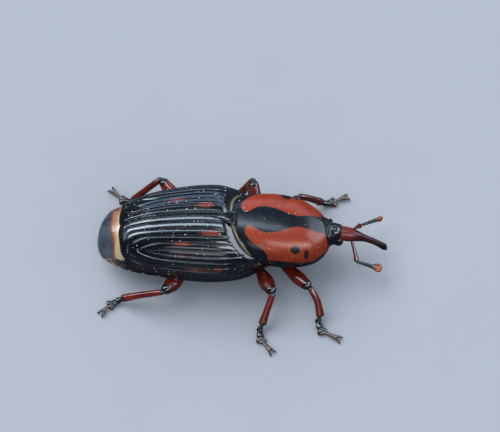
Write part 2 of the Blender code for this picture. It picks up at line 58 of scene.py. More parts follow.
def between(keys, t):
    # Smooth values at t through keys of (t, value, value, ...)
    table = np.array(keys, float)
    at, values = table[:, 0], table[:, 1:]
    t = np.clip(np.asarray(t, float), at[0], at[-1])
    k = np.clip(np.searchsorted(at, t, "right") - 1, 0, len(at) - 2)
    before = np.maximum(np.arange(len(at)) - 1, 0)
    after = np.minimum(np.arange(len(at)) + 1, len(at) - 1)
    slopes = (values[after] - values[before]) / (at[after] - at[before])[:, None]
    span = (at[k + 1] - at[k])[..., None]
    s = (t - at[k])[..., None] / span
    return (values[k] * (2 * s**3 - 3 * s**2 + 1) + values[k + 1] * (3 * s**2 - 2 * s**3)
            + span * (slopes[k] * (s**3 - 2 * s**2 + s) + slopes[k + 1] * (s**3 - s**2)))


def signedPower(value, exponent):
    return np.sign(value) * np.abs(value) ** exponent


def smooth(value, start, end):
    s = np.clip((value - start) / (end - start), 0, 1)
    return s * s * (3 - 2 * s)


def bump(value, centre, width):
    return np.exp(-((value - centre) / width) ** 2)


def unit(vector):
    return vector / np.linalg.norm(vector)


def fullTurn(count):
    return np.linspace(0, 2 * math.pi, count, endpoint=False)


def addObject(name, data):
    made = bpy.data.objects.new(name, data)
    bpy.context.collection.objects.link(made)
    return made


def finishMesh(name, points, faces, values, material):
    mesh = bpy.data.meshes.new(name)
    mesh.from_pydata((points * mm + bodyOrigin).tolist(), [], faces)
    for key, column in values.items():
        mesh.attributes.new(key, "FLOAT", "POINT").data.foreach_set("value", np.asarray(column, np.float32))
    bm = bmesh.new()
    bm.from_mesh(mesh)
    bmesh.ops.remove_doubles(bm, verts=bm.verts, dist=1e-7)
    bmesh.ops.recalc_face_normals(bm, faces=bm.faces)
    bm.to_mesh(mesh)
    bm.free()
    mesh.materials.append(material)
    mesh.shade_smooth()
    return addObject(name, mesh)


def skin(name, grid, values, material):
    # A closed skin round rows of points, with a pole at each end
    rows, columns = grid.shape[:2]
    here = np.arange(rows * columns).reshape(rows, columns)
    there = np.roll(here, -1, axis=1)
    faces = np.stack([here[:-1], there[:-1], there[1:], here[1:]], -1).reshape(-1, 4).tolist()
    first, last = rows * columns, rows * columns + 1
    faces += [(first, b, a) for a, b in zip(here[0].tolist(), there[0].tolist())]
    faces += [(last, a, b) for a, b in zip(here[-1].tolist(), there[-1].tolist())]
    points = np.concatenate([grid.reshape(-1, 3), grid[:1].mean(1), grid[-1:].mean(1)])
    columnsOf = {key: np.concatenate([v.ravel(), v[:1].mean(1), v[-1:].mean(1)]) for key, v in values.items()}
    return finishMesh(name, points, faces, columnsOf, material)


def sheet(name, grid, values, material):
    # An open sheet through rows of points
    rows, columns = grid.shape[:2]
    here = np.arange(rows * columns).reshape(rows, columns)
    faces = np.stack([here[:-1, :-1], here[:-1, 1:], here[1:, 1:], here[1:, :-1]], -1).reshape(-1, 4)
    return finishMesh(name, grid.reshape(-1, 3), faces.tolist(),
                      {key: v.ravel() for key, v in values.items()}, material)


def curvePoint(path, t):
    lengths = np.concatenate([[0], np.cumsum(np.linalg.norm(np.diff(path, axis=0), axis=1))])
    return between(np.column_stack([lengths / lengths[-1], path]), t)


def limbGrid(path, sizes, caps, rings, sides, squareness=2.0, floor=None):
    # Rounded rings along a path; sizes hold (t, half width, half height), caps the length of each round end
    path = np.array(path, float)
    length = np.linalg.norm(np.diff(path, axis=0), axis=1).sum()
    ends = 1 - np.cos(np.linspace(0.12, math.pi / 2, 9))
    t = np.concatenate([ends * caps[0] / length,
                        np.linspace(caps[0] / length, 1 - caps[1] / length, rings)[1:-1],
                        (1 - ends * caps[1] / length)[::-1]])
    centre = curvePoint(path, t)
    ahead = curvePoint(path, np.minimum(t + 0.02, 1)) - curvePoint(path, np.maximum(t - 0.02, 0))
    ahead /= np.linalg.norm(ahead, axis=1)[:, None]
    side = np.cross(ahead, (0, 0, 1))
    side /= np.linalg.norm(side, axis=1)[:, None]
    lift = np.cross(side, ahead)
    near = np.clip(np.minimum(t * length / caps[0], (1 - t) * length / caps[1]), 0, 1)
    girth = between(sizes, t) * np.sqrt(1 - (1 - near) ** 2)[:, None]
    angle = fullTurn(sides)
    across = signedPower(np.cos(angle), 2 / squareness)
    up = signedPower(np.sin(angle), 2 / squareness)
    grid = (centre[:, None] + side[:, None] * (girth[:, :1] * across)[..., None]
            + lift[:, None] * (girth[:, 1:] * up)[..., None])
    if floor is not None:
        grid[..., 2] = np.maximum(grid[..., 2], floor)
    return grid, {"along": np.repeat(t[:, None], sides, 1),
                  "around": np.repeat(np.sin(angle)[None], len(t), 0)}


def ballGrid(centre, radii, rings=40, sides=56):
    polar = np.linspace(0.03, math.pi - 0.03, rings)[:, None]
    angle = fullTurn(sides)[None]
    points = np.stack([np.cos(polar) + 0 * angle, np.sin(polar) * np.cos(angle),
                       np.sin(polar) * np.sin(angle)], -1)
    return np.array(centre) + points * np.array(radii)


def plainLimb(name, path, sizes, caps, rings, sides, finish, **tones):
    # A limb of one tone from end to end
    grid, values = limbGrid(path, sizes, caps, rings, sides)
    values.update((key, np.full_like(values["along"], tone)) for key, tone in tones.items())
    return skin(name, grid, values, finish)


def joinPieces(name, pieces):
    bpy.ops.object.select_all(action="DESELECT")
    for piece in pieces:
        piece.select_set(True)
    bpy.context.view_layer.objects.active = pieces[0]
    bpy.ops.object.join()
    pieces[0].name = pieces[0].data.name = name
    return pieces[0]


def dress(piece, slot, *nodes):
    # The piece belongs to the body and stands for these solids
    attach(piece, "root")
    if nodes:
        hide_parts(*nodes)
    return piece


# Nodes

def addNode(tree, kind, inputs=None, **settings):
    made = tree.nodes.new(kind)
    for key, value in settings.items():
        setattr(made, key, value)
    for key, value in (inputs or {}).items():
        if isinstance(value, bpy.types.NodeSocket):
            tree.links.new(value, made.inputs[key])
        else:
            made.inputs[key].default_value = value
    return made


def newTree(kind, name, inputs, outputs):
    # A socket is given by its type, or by its start value where it is a number
    tree = bpy.data.node_groups.new(name, kind)
    for way, sockets in (("INPUT", inputs), ("OUTPUT", outputs)):
        for key, value in sockets.items():
            typed = isinstance(value, str)
            socket = tree.interface.new_socket(
                key, in_out=way, socket_type="NodeSocket" + (value if typed else "Float"))
            if not typed:
                socket.default_value = value
    return tree, tree.nodes.new("NodeGroupInput").outputs, tree.nodes.new("NodeGroupOutput").inputs


def placeGroup(tree, group, **inputs):
    return addNode(tree, "ShaderNodeGroup", inputs, node_tree=group).outputs


def mixColour(tree, factor, one, two):
    one, two = ((*colour, 1) if isinstance(colour, tuple) else colour for colour in (one, two))
    return addNode(tree, "ShaderNodeMix", {0: factor, 6: one, 7: two}, data_type="RGBA").outputs[2]


def arithmetic(tree, operation, *values):
    return addNode(tree, "ShaderNodeMath", dict(enumerate(values)), operation=operation).outputs[0]


def times(tree, one, two):
    return arithmetic(tree, "MULTIPLY", one, two)


def vectorMath(tree, operation, inputs):
    return addNode(tree, "ShaderNodeVectorMath", inputs, operation=operation).outputs[0]


def ramp(tree, value, start, end, low=0.0, high=1.0):
    return addNode(tree, "ShaderNodeMapRange", {0: value, 1: start, 2: end, 3: low, 4: high},
                   interpolation_type="SMOOTHSTEP").outputs[0]


def noise(tree, place, scale, detail, roughness=0.5):
    return addNode(tree, "ShaderNodeTexNoise", {"Vector": place, "Scale": scale, "Detail": detail,
                                                "Roughness": roughness}).outputs[0]


def cells(tree, place, scale):
    # Distance from the nearest cell point, and that cell's random numbers
    made = addNode(tree, "ShaderNodeTexVoronoi", {"Vector": place, "Scale": scale}).outputs
    return made["Distance"], addNode(tree, "ShaderNodeSeparateColor", {"Color": made["Color"]}).outputs


def readAttribute(tree, name):
    return addNode(tree, "ShaderNodeAttribute", attribute_name=name).outputs["Fac"]


def makePits():
    # Small round pits with uneven depth, as in beetle chitin
    group, given, result = newTree(
        "ShaderNodeTree", "chitinPits", {"Vector": "Vector", "Scale": 4000.0, "Width": 0.32},
        {"Height": "Float"})
    distance, chance = cells(group, given["Vector"], given["Scale"])
    hollow = arithmetic(group, "SUBTRACT", 1.0, ramp(group, distance, 0.0, given["Width"]))
    share = ramp(group, chance[0], 0.0, 1.0, 0.35, 1.0)
    group.links.new(times(group, times(group, hollow, share), -1.0), result["Height"])
    return group


def makeDust():
    # Loose grains scattered over the surface, and a faint film between them
    group, given, result = newTree(
        "ShaderNodeTree", "dust", {"Vector": "Vector", "Scale": 2300.0, "Grain": 0.13, "Share": 0.3},
        {"Grains": "Float", "Film": "Float"})
    distance, chance = cells(group, given["Vector"], given["Scale"])
    wobble = arithmetic(group, "SUBTRACT", noise(group, given["Vector"], 9000.0, 2.0), 0.5)
    edge = arithmetic(group, "ADD", distance, times(group, wobble, 0.16))
    size = times(group, given["Grain"], ramp(group, chance[1], 0.0, 1.0, 0.4, 1.0))
    inside = arithmetic(group, "LESS_THAN", edge, size)
    picked = arithmetic(group, "LESS_THAN", chance[0], given["Share"])
    group.links.new(times(group, inside, picked), result["Grains"])
    cloud = noise(group, given["Vector"], 420.0, 6.0, 0.65)
    group.links.new(ramp(group, cloud, 0.45, 0.8), result["Film"])
    return group


def makeMottle():
    # Slow and fine changes of tone
    group, given, result = newTree("ShaderNodeTree", "mottle", {"Vector": "Vector", "Scale": 600.0},
                                   {"Tone": "Float", "Fine": "Float"})
    slow = noise(group, given["Vector"], given["Scale"], 4.0, 0.6)
    fine = noise(group, given["Vector"], times(group, given["Scale"], 9.0), 3.0, 0.7)
    group.links.new(ramp(group, slow, 0.3, 0.7), result["Tone"])
    group.links.new(ramp(group, fine, 0.25, 0.75), result["Fine"])
    return group


chitinPits, dust, mottle = makePits(), makeDust(), makeMottle()


# Finishes

def newMaterial(name):
    material = bpy.data.materials.new(name)
    material.use_nodes = True
    tree = material.node_tree
    place = addNode(tree, "ShaderNodeTexCoord").outputs["Object"]
    return material, tree, tree.nodes["Principled BSDF"].inputs, place


plainChitin = {
    # The near-black base and shade carry a slight blue tint, a painted reflection of the sky
    "base": (0.0025, 0.0035, 0.006), "shade": (0.006, 0.008, 0.012), "marks": [], "ragged": 0.12,
    "roughness": (0.16, 0.3), "coat": 0.6, "coatRoughness": 0.12, "specular": 0.5,
    "pitScale": 5200.0, "pitWidth": 0.35, "pitDepth": 0.000006, "grooves": None,
    "grain": 0.15, "grainShare": 0.3, "grainHeight": 0.00002, "film": 0.02,
}
dustColour, dustRoughness = (0.75, 0.76, 0.74), 0.8


def chitin(name, **look):
    # Marks hold (attribute, where it starts, where it is full, colour) and lie over the base in order
    look = {**plainChitin, **look}
    material, tree, shader, place = newMaterial(name)
    tones = placeGroup(tree, mottle, Vector=place, Scale=650.0)
    colour = mixColour(tree, tones["Tone"], look["base"], look["shade"])
    ragged = times(tree, arithmetic(tree, "SUBTRACT", tones["Tone"], 0.5), look["ragged"])
    for attribute, start, end, markColour in look["marks"]:
        value = readAttribute(tree, attribute)
        edge = arithmetic(tree, "ADD", value, times(tree, ragged, abs(end - start) ** 0.5))
        colour = mixColour(tree, ramp(tree, edge, start, end), colour, markColour)
    grains = placeGroup(tree, dust, Vector=place, Grain=look["grain"], Share=look["grainShare"])
    colour = mixColour(tree, times(tree, grains["Film"], look["film"]), colour, dustColour)
    colour = mixColour(tree, grains["Grains"], colour, dustColour)
    tree.links.new(colour, shader["Base Color"])
    rough = ramp(tree, tones["Fine"], 0.0, 1.0, *look["roughness"])
    dry = arithmetic(tree, "MAXIMUM", rough, times(tree, grains["Grains"], dustRoughness))
    tree.links.new(dry, shader["Roughness"])
    tree.links.new(ramp(tree, grains["Grains"], 0.0, 1.0, look["coat"], 0.0), shader["Coat Weight"])
    shader["Coat Roughness"].default_value = look["coatRoughness"]
    shader["Specular IOR Level"].default_value = look["specular"]
    pits = placeGroup(tree, chitinPits, Vector=place, Scale=look["pitScale"], Width=look["pitWidth"])
    height = arithmetic(tree, "ADD", times(tree, pits["Height"], look["pitDepth"]),
                        times(tree, grains["Grains"], look["grainHeight"]))
    if look["grooves"]:
        # Pits in a row along each groove
        crest, run, spacing, depth = look["grooves"]
        wave = arithmetic(tree, "SINE", times(tree, readAttribute(tree, run), 2 * math.pi / spacing))
        inGroove = arithmetic(tree, "SUBTRACT", 1.0, ramp(tree, readAttribute(tree, crest), 0.02, 0.2))
        row = times(tree, ramp(tree, wave, -0.2, 0.9), inGroove)
        height = arithmetic(tree, "SUBTRACT", height, times(tree, row, depth))
    relief = addNode(tree, "ShaderNodeBump", {"Height": height, "Distance": 1.0, "Strength": 1.0})
    tree.links.new(relief.outputs[0], shader["Normal"])
    return material


def hairFinish(name, root, tip):
    # Strands that differ in tone and gloss
    material, tree, shader, place = newMaterial(name)
    tones = placeGroup(tree, mottle, Vector=place, Scale=1500.0)
    tree.links.new(mixColour(tree, tones["Fine"], root, tip), shader["Base Color"])
    tree.links.new(ramp(tree, tones["Tone"], 0.0, 1.0, 0.35, 0.55), shader["Roughness"])
    return material


red, deepRed = (0.48, 0.062, 0.012), (0.38, 0.040, 0.010)
# The blue tint of black, and the stronger tint of blueBlack, is a painted reflection of the sky on the dark
# chitin
black, blueBlack = (0.0025, 0.0035, 0.006), (0.0045, 0.008, 0.016)
limbRed, limbDark = (0.26, 0.024, 0.007), (0.13, 0.011, 0.006)
straw, cream, orange = (0.55, 0.50, 0.28), (0.82, 0.60, 0.36), (0.50, 0.20, 0.09)
# palest is the pale edge line on the tail plate and the last rings, partly pale hair fringe and partly a
# painted highlight
fleshy, palest = (0.20, 0.10, 0.09), (0.60, 0.52, 0.40)

pronotumFinish = chitin(
    "pronotumFinish", base=red, shade=deepRed, roughness=(0.24, 0.33), coat=0.08, specular=0.36,
    pitScale=3600.0, pitDepth=0.0000025, ragged=0.25, grainShare=0.5,
    marks=[("dash", -0.08, 0.04, (0.03, 0.005, 0.006)), ("black", -0.06, 0.06, blueBlack),
           ("rim", -0.02, 0.05, straw)])
elytronFinish = chitin(
    "elytronFinish", base=black, shade=blueBlack, roughness=(0.13, 0.28), coat=0.7, pitScale=3000.0,
    pitDepth=0.000002, grainShare=0.8, ragged=0.5, grooves=("crest", "run", 0.3, 0.000005),
    marks=[("spot", -0.25, 0.55, (0.27, 0.05, 0.024))])
blackFinish = chitin("blackFinish")
# The pale yellowish mark on the last foot joints and claws is a painted highlight
limbFinish = chitin(
    "limbFinish", base=limbRed, shade=limbDark, roughness=(0.16, 0.26), pitScale=4200.0, pitDepth=0.000002,
    marks=[("dark", 0.2, 0.8, (0.010, 0.006, 0.007)), ("paintedSheen", 0.0, 1.0, (0.21, 0.15, 0.10))])
# The maroon mark is the snout's own darker red along its middle, and also a painted shade on its sides and
# underside
snoutFinish = chitin(
    "snoutFinish", base=(0.28, 0.019, 0.008), shade=(0.18, 0.012, 0.007), roughness=(0.24, 0.4),
    coat=0.12, specular=0.3, pitScale=3200.0, pitWidth=0.42, pitDepth=0.000016,
    marks=[("maroon", 0.0, 1.0, (0.055, 0.006, 0.009)), ("dark", 0.2, 0.85, black)])
# The tail plate's blue-grey base and its lighter mottled tone are a painted reflection of the sky on its dark
# part
tailFinish = chitin(
    "tailFinish", base=(0.025, 0.038, 0.055), shade=(0.11, 0.15, 0.20), roughness=(0.25, 0.45),
    coat=0.4, pitScale=3400.0, pitDepth=0.000010, ragged=0.3,
    marks=[("orange", -0.12, 0.08, (0.20, 0.05, 0.025)), ("orange", 0.0, 0.4, orange),
           ("cream", -0.2, 0.2, cream), ("flesh", 0.0, 1.0, fleshy), ("rim", 0.2, 0.9, palest)])
abdomenFinish = chitin("abdomenFinish", marks=[("pale", 0.0, 1.0, fleshy), ("rim", 0.1, 0.9, palest)])
clubFinish = chitin(
    "clubFinish", base=(0.50, 0.13, 0.03), shade=(0.30, 0.06, 0.02), roughness=(0.22, 0.4), coat=0.5,
    pitScale=9000.0, pitDepth=0.000008, marks=[("dark", 0.3, 0.8, limbDark)])
eyeFinish = chitin("eyeFinish", roughness=(0.1, 0.16), coat=0.8, pitScale=14000.0, pitWidth=0.5,
                   pitDepth=-0.000006, grainShare=0.03, film=0.0)
goldHair = hairFinish("goldHair", (0.30, 0.17, 0.05), (0.55, 0.38, 0.14))
paleHair = hairFinish("paleHair", (0.50, 0.45, 0.36), (0.75, 0.70, 0.60))
strawHair = hairFinish("strawHair", (0.30, 0.26, 0.10), (0.62, 0.56, 0.30))
rustHair = hairFinish("rustHair", (0.33, 0.10, 0.035), (0.60, 0.24, 0.10))
print("finishes made")


# Bristles and beads

def placeCopies(tree, points, shape, heading, size, finish, result):
    # One copy of the shape on each point, turned along its heading, made real and painted
    turned = addNode(tree, "FunctionNodeAlignRotationToVector", {"Vector": heading}, axis="Z").outputs[0]
    placed = addNode(tree, "GeometryNodeInstanceOnPoints",
                     {"Points": points, "Instance": shape, "Rotation": turned, "Scale": size})
    real = addNode(tree, "GeometryNodeRealizeInstances", {"Geometry": placed.outputs[0]})
    painted = addNode(tree, "GeometryNodeSetMaterial", {"Geometry": real.outputs[0], "Material": finish})
    tree.links.new(painted.outputs[0], result)


def makeBristleTree():
    # Thin tapered hairs over the parts of a surface that are marked hairy
    tree, given, result = newTree(
        "GeometryNodeTree", "bristles",
        {"Surface": "Geometry", "Density": 1e7, "Length": 0.0003, "Thickness": 0.00001, "Spread": 0.3,
         "Lean": "Vector", "Finish": "Material"}, {"Bristles": "Geometry"})
    hairy = addNode(tree, "GeometryNodeInputNamedAttribute", {"Name": "hairy"}, data_type="FLOAT").outputs[0]
    spots = addNode(tree, "GeometryNodeDistributePointsOnFaces",
                    {"Mesh": given["Surface"], "Density": times(tree, hairy, given["Density"]), "Seed": 7},
                    distribute_method="RANDOM").outputs
    hair = addNode(tree, "GeometryNodeMeshCone",
                   {"Vertices": 4, "Side Segments": 1, "Fill Segments": 1, "Radius Top": 0.0,
                    "Radius Bottom": given["Thickness"], "Depth": given["Length"]},
                   fill_type="TRIANGLE_FAN").outputs["Mesh"]
    wild = addNode(tree, "FunctionNodeRandomValue", {"Min": (-1, -1, -1), "Max": (1, 1, 1), "Seed": 11},
                   data_type="FLOAT_VECTOR").outputs[0]
    loose = vectorMath(tree, "SCALE", {0: wild, 3: given["Spread"]})
    leaned = vectorMath(tree, "ADD", {0: spots["Normal"], 1: given["Lean"]})
    heading = vectorMath(tree, "ADD", {0: leaned, 1: loose})
    size = addNode(tree, "FunctionNodeRandomValue", {2: 0.55, 3: 1.0, "Seed": 5},
                   data_type="FLOAT").outputs[1]
    placeCopies(tree, spots["Points"], hair, heading, size, given["Finish"], result["Bristles"])
    return tree


def makeBeadTree():
    # The beads of a feeler from its elbow to the club, each a little larger than the last
    tree, given, result = newTree(
        "GeometryNodeTree", "feelerBeads",
        {"Surface": "Geometry", "Start": "Vector", "End": "Vector", "Beads": "Int", "First": "Float",
         "Last": "Float", "Finish": "Material"}, {"Feeler": "Geometry"})
    line = addNode(tree, "GeometryNodeCurvePrimitiveLine", {"Start": given["Start"], "End": given["End"]})
    spaced = addNode(tree, "GeometryNodeResampleCurve", {"Curve": line.outputs[0], "Count": given["Beads"]})
    bead = addNode(tree, "GeometryNodeMeshUVSphere",
                   {"Segments": 20, "Rings": 14, "Radius": 1.0}).outputs["Mesh"]
    tangent = addNode(tree, "GeometryNodeInputTangent").outputs[0]
    along = addNode(tree, "GeometryNodeSplineParameter").outputs["Factor"]
    width = addNode(tree, "ShaderNodeMapRange", {0: along, 3: given["First"], 4: given["Last"]}).outputs[0]
    size = vectorMath(tree, "SCALE", {0: (1.0, 1.0, 0.92), 3: width})
    placeCopies(tree, spaced.outputs[0], bead, tangent, size, given["Finish"], result["Feeler"])
    return tree


bristleTree, beadTree = makeBristleTree(), makeBeadTree()


def bakedMesh(piece):
    # The piece's mesh with its modifiers applied
    graph = bpy.context.evaluated_depsgraph_get()
    return bpy.data.meshes.new_from_object(piece.evaluated_get(graph), depsgraph=graph)


def grow(name, carrier, tree, settings):
    # Runs a tree on a piece and returns what it makes as a plain mesh
    modifier = carrier.modifiers.new(name, "NODES")
    modifier.node_group = tree
    for item in tree.interface.items_tree:
        if item.in_out == "INPUT" and item.name in settings:
            modifier[item.identifier] = settings[item.name]
    mesh = bakedMesh(carrier)
    carrier.modifiers.remove(modifier)
    mesh.name = name
    mesh.shade_smooth()
    return addObject(name, mesh)


def growBristles(name, carrier, finish, density, length, thickness, lean, spread=0.3):
    # Density is hairs per square millimetre where hairy is 1; sizes are in millimetres
    hairs = grow(name, carrier, bristleTree, {
        "Density": density / mm**2, "Length": length * mm, "Thickness": thickness * mm, "Spread": spread,
        "Lean": tuple(lean), "Finish": finish})
    places = np.zeros(len(hairs.data.vertices) * 3)
    hairs.data.vertices.foreach_get("co", places)
    places[2::3] = np.maximum(places[2::3], 0)
    hairs.data.vertices.foreach_set("co", places)
    print(name, len(hairs.data.polygons) // 4, "hairs")
    dress(hairs, "bristle")


# The shield behind the head

prothorax = {
    "back": -0.4, "front": 9.8,
    "slantBack": 3.4, "slantFront": 0.1, "slantDepth": 3.2,
    "turn": 0.15,            # how much further forward the right side lies, per mm outward
    "squareness": 2.3,
    # Station on the midline of the back, half width, widest height, top, bottom
    "stations": [(-0.4, 3.3, 5.3, 8.1, 2.1), (0.6, 3.48, 5.4, 8.35, 1.9), (2.0, 3.6, 5.4, 8.4, 1.7),
                 (3.6, 3.62, 5.4, 8.25, 1.65), (5.2, 3.48, 5.3, 7.95, 1.8), (6.8, 3.12, 5.1, 7.5, 2.2),
                 (8.0, 2.5, 4.95, 6.95, 2.7), (8.8, 1.8, 4.9, 6.5, 3.2), (9.1, 1.45, 4.9, 6.25, 3.5),
                 (9.8, 1.2, 4.9, 6.15, 3.7)],
    # Rims and grooves along the base and round the collar: distance from the edge, width, height
    "baseRelief": [(0.1, 0.13, 0.05), (0.34, 0.1, -0.06)],
    "collarRelief": [(0.12, 0.1, 0.05), (0.36, 0.12, -0.07), (0.8, 0.12, -0.05)],
    "fringeWidth": 0.2,
    # The black band on the back, (station, half width)
    "band": [(0.4, 1.1), (1.16, 0.74), (1.5, 0.82), (2.0, 1.18), (2.5, 1.4), (3.05, 1.48), (3.7, 1.32),
             (4.5, 1.13), (5.2, 0.82), (5.85, 0.62), (6.5, 0.63), (7.2, 0.76), (8.1, 0.87), (8.7, 0.85)],
    # Where the red starts and ends, (distance round from the midline, station)
    "redStart": [(0.7, 1.35), (0.85, 0.98), (1.15, 0.74), (1.6, 0.68), (2.1, 0.76), (2.7, 1.0), (3.15, 1.35),
                 (3.55, 1.6), (4.0, 1.65), (4.5, 1.5), (5.0, 1.25)],
    "redEnd": [(0.7, 8.4), (1.0, 8.72), (2.0, 8.78), (3.0, 8.52), (3.7, 7.85), (4.4, 7.0), (4.9, 6.1),
               (5.2, 5.2), (5.4, 4.5)],
    # Its lower edge, (station, distance round)
    "redEdge": [(0.4, 5.0), (3.0, 5.0), (4.5, 5.15), (6.0, 5.35), (8.7, 5.4)],
    # Station, distance round, half length, half width; the left spot lies a little further round
    "spot": (5.08, 3.13, 0.52, 0.56), "spotLower": 0.2,
    "dash": (6.13, 3.57, 0.22, 0.62),
    "markLean": 0.33,        # the marks stand upright on the flank, although the stations lean forward there
}


def prothoraxGrid(rows=250, columns=288):
    s = prothorax
    stations = np.linspace(s["back"], s["front"], rows)
    width, middle, top, bottom = between(s["stations"], stations).T[:, :, None]
    angle = fullTurn(columns)[None]
    y = width * signedPower(np.cos(angle), 2 / s["squareness"])
    rise = signedPower(np.sin(angle), 2 / s["squareness"])
    z = middle + np.where(rise > 0, (top - middle) * rise, (middle - bottom) * rise)
    share = ((stations - s["back"]) / (s["front"] - s["back"]))[:, None]
    amount = s["slantBack"] + (s["slantFront"] - s["slantBack"]) * share
    x = stations[:, None] + amount * (1 - np.exp((z - top) / s["slantDepth"])) - s["turn"] * y
    grid = np.stack([x, y, z], -1)
    station = np.repeat(stations[:, None], columns, 1)
    # Distance round from the midline of the back, measured over the surface
    step = np.linalg.norm(grid - np.roll(grid, 1, axis=1), axis=-1)
    topColumn = columns // 4
    roundLeft = np.cumsum(np.roll(step, -topColumn - 1, axis=1), axis=1)
    apart = np.abs(np.arange(columns) - topColumn)
    away = np.concatenate([np.zeros((rows, 1)), roundLeft], 1)[:, np.minimum(apart, columns - apart)]
    swell = sum(height * bump(station - s["back"], at, wide) for at, wide, height in s["baseRelief"])
    swell += sum(height * bump(s["front"] - station, at, wide) for at, wide, height in s["collarRelief"])
    outward = np.stack([np.zeros_like(y), y, z - middle], -1)
    outward /= np.linalg.norm(outward, axis=-1)[..., None]
    grid += outward * swell[..., None]
    return grid, station, away


def closeEnds(grid, values, inward, shrink):
    # Turns both rims in towards the middle, so that no open edge shows
    middleOf = grid.mean(1, keepdims=True)
    steps = list(zip((0.3, 0.7, 1.0), shrink))

    def ring(row, step, size):
        return middleOf[row] + (grid[row] - middleOf[row]) * size + np.array([step, 0, 0])

    def repeated(value):
        first, last = (np.repeat(edge, len(steps), 0) for edge in (value[:1], value[-1:]))
        return np.concatenate([first, value, last])
    back = [ring(0, inward * k, size) for k, size in steps]
    front = [ring(-1, -inward * k, size) for k, size in steps]
    closed = np.concatenate([np.stack(back[::-1]), grid, np.stack(front)])
    return closed, {key: repeated(value) for key, value in values.items()}


def ovalMark(station, away, mark):
    at, off, length, width = mark
    lean = prothorax["markLean"] * (away - off)
    return (1 - np.hypot((station + lean - at) / length, (away - off) / width)) * min(length, width)


def buildProthorax():
    s = prothorax
    grid, station, away = prothoraxGrid()
    band = between(s["band"], station)[..., 0] - away
    outer = away - between(s["redEdge"], station)[..., 0]
    ends = np.maximum(between(s["redStart"], away)[..., 0] - station,
                      station - between(s["redEnd"], away)[..., 0])
    spot = ovalMark(station, away - s["spotLower"] * (grid[..., 1] > 0), s["spot"])
    fromBase = s["back"] + s["fringeWidth"] - station
    values = {
        "black": np.maximum.reduce([band, outer, ends, spot]),
        "dash": ovalMark(station, away, s["dash"]),
        "rim": fromBase,
        "hairy": smooth(fromBase + 0.06, 0.0, 0.05) * smooth(grid[..., 2], 4.2, 5.0),
    }
    grid, values = closeEnds(grid, values, 0.4, (0.96, 0.9, 0.8))
    piece = skin("prothoraxPlate", grid, values, pronotumFinish)
    growBristles("pronotumFringe", piece, strawHair, 240, 0.3, 0.014, lean=(-2.2, 0, 0.5), spread=0.25)
    dress(piece, "red_chitin", "prothorax")


buildProthorax()
print("prothorax made")


# Wing cases

wingCase = {
    "back": -11.45, "suture": 0.012, "thickness": 0.45, "turn": 0.15, "sidePower": 0.88,
    "frontDrop": 0.4, "frontSlope": 0.09,
    # Half width, top and margin height along X
    "profile": [(-11.5, 2.9, 6.35, 4.55), (-10.9, 3.2, 6.85, 4.45), (-10.0, 3.5, 7.4, 4.4),
                (-8.7, 3.9, 8.05, 4.35), (-7.0, 4.25, 8.6, 4.35), (-5.0, 4.55, 8.9, 4.35),
                (-3.0, 4.75, 9.0, 4.35), (-1.0, 4.78, 8.8, 4.4), (0.6, 4.4, 8.3, 4.5), (1.9, 3.85, 7.8, 4.6)],
    # The front edge from the suture round to the side
    "front": [(0.0, -0.5), (0.3, -0.05), (0.55, 0.85), (0.75, 1.95), (0.88, 1.85), (1.0, 0.85)],
    # Grooves start at the base, and the outer two run out at the tip
    "grooves": 5, "crown": 0.035, "grooveDepth": 0.1, "grooveWidth": 0.1,
    "grooveStart": (0.02, 0.2), "grooveEnd": (0.9, 0.955), "outerTwo": 0.42,
    # How far back each loop of a groove reaches, by its place in from the margin
    "tips": [(0.0, 1.0), (0.1, 0.985), (0.3, 0.968), (0.5, 0.93), (0.7, 0.853), (0.9, 0.771), (1.0, 0.75)],
    # Red spots: X, place across from 0 at the suture to 1 at the side, half length, half width, strength
    "spots": {"Right": [(-2.35, 0.205, 1.15, 0.045, 1.0), (-5.05, 0.365, 1.05, 0.034, 1.0),
                        (-5.15, 0.555, 0.45, 0.028, 0.5)],
              "Left": [(-2.8, 0.135, 0.95, 0.04, 0.8), (-5.7, 0.24, 0.95, 0.03, 0.55),
                       (-5.2, 0.555, 0.45, 0.028, 0.5)],
              "both": [(-3.7, 0.81, 1.4, 0.035, 0.5), (-1.6, 0.775, 0.6, 0.03, 0.8)]},
}


def wingCasePoint(v, f, depth, flip):
    s = wingCase
    front = between(s["front"], f)[..., 0]
    x = front + (s["back"] + 1.1 * f**3 - front) * v
    width, top, margin = np.moveaxis(between(s["profile"], x), -1, 0)
    angle = f * math.pi / 2
    y = s["suture"] + (width - depth - s["suture"]) * np.sin(angle) ** s["sidePower"]
    z = margin + (top - depth - margin) * np.abs(np.cos(angle)) ** s["sidePower"]
    return np.stack([x - flip * s["turn"] * y * (1 - np.clip(v, 0, 1)) ** 2, flip * y, z], -1)


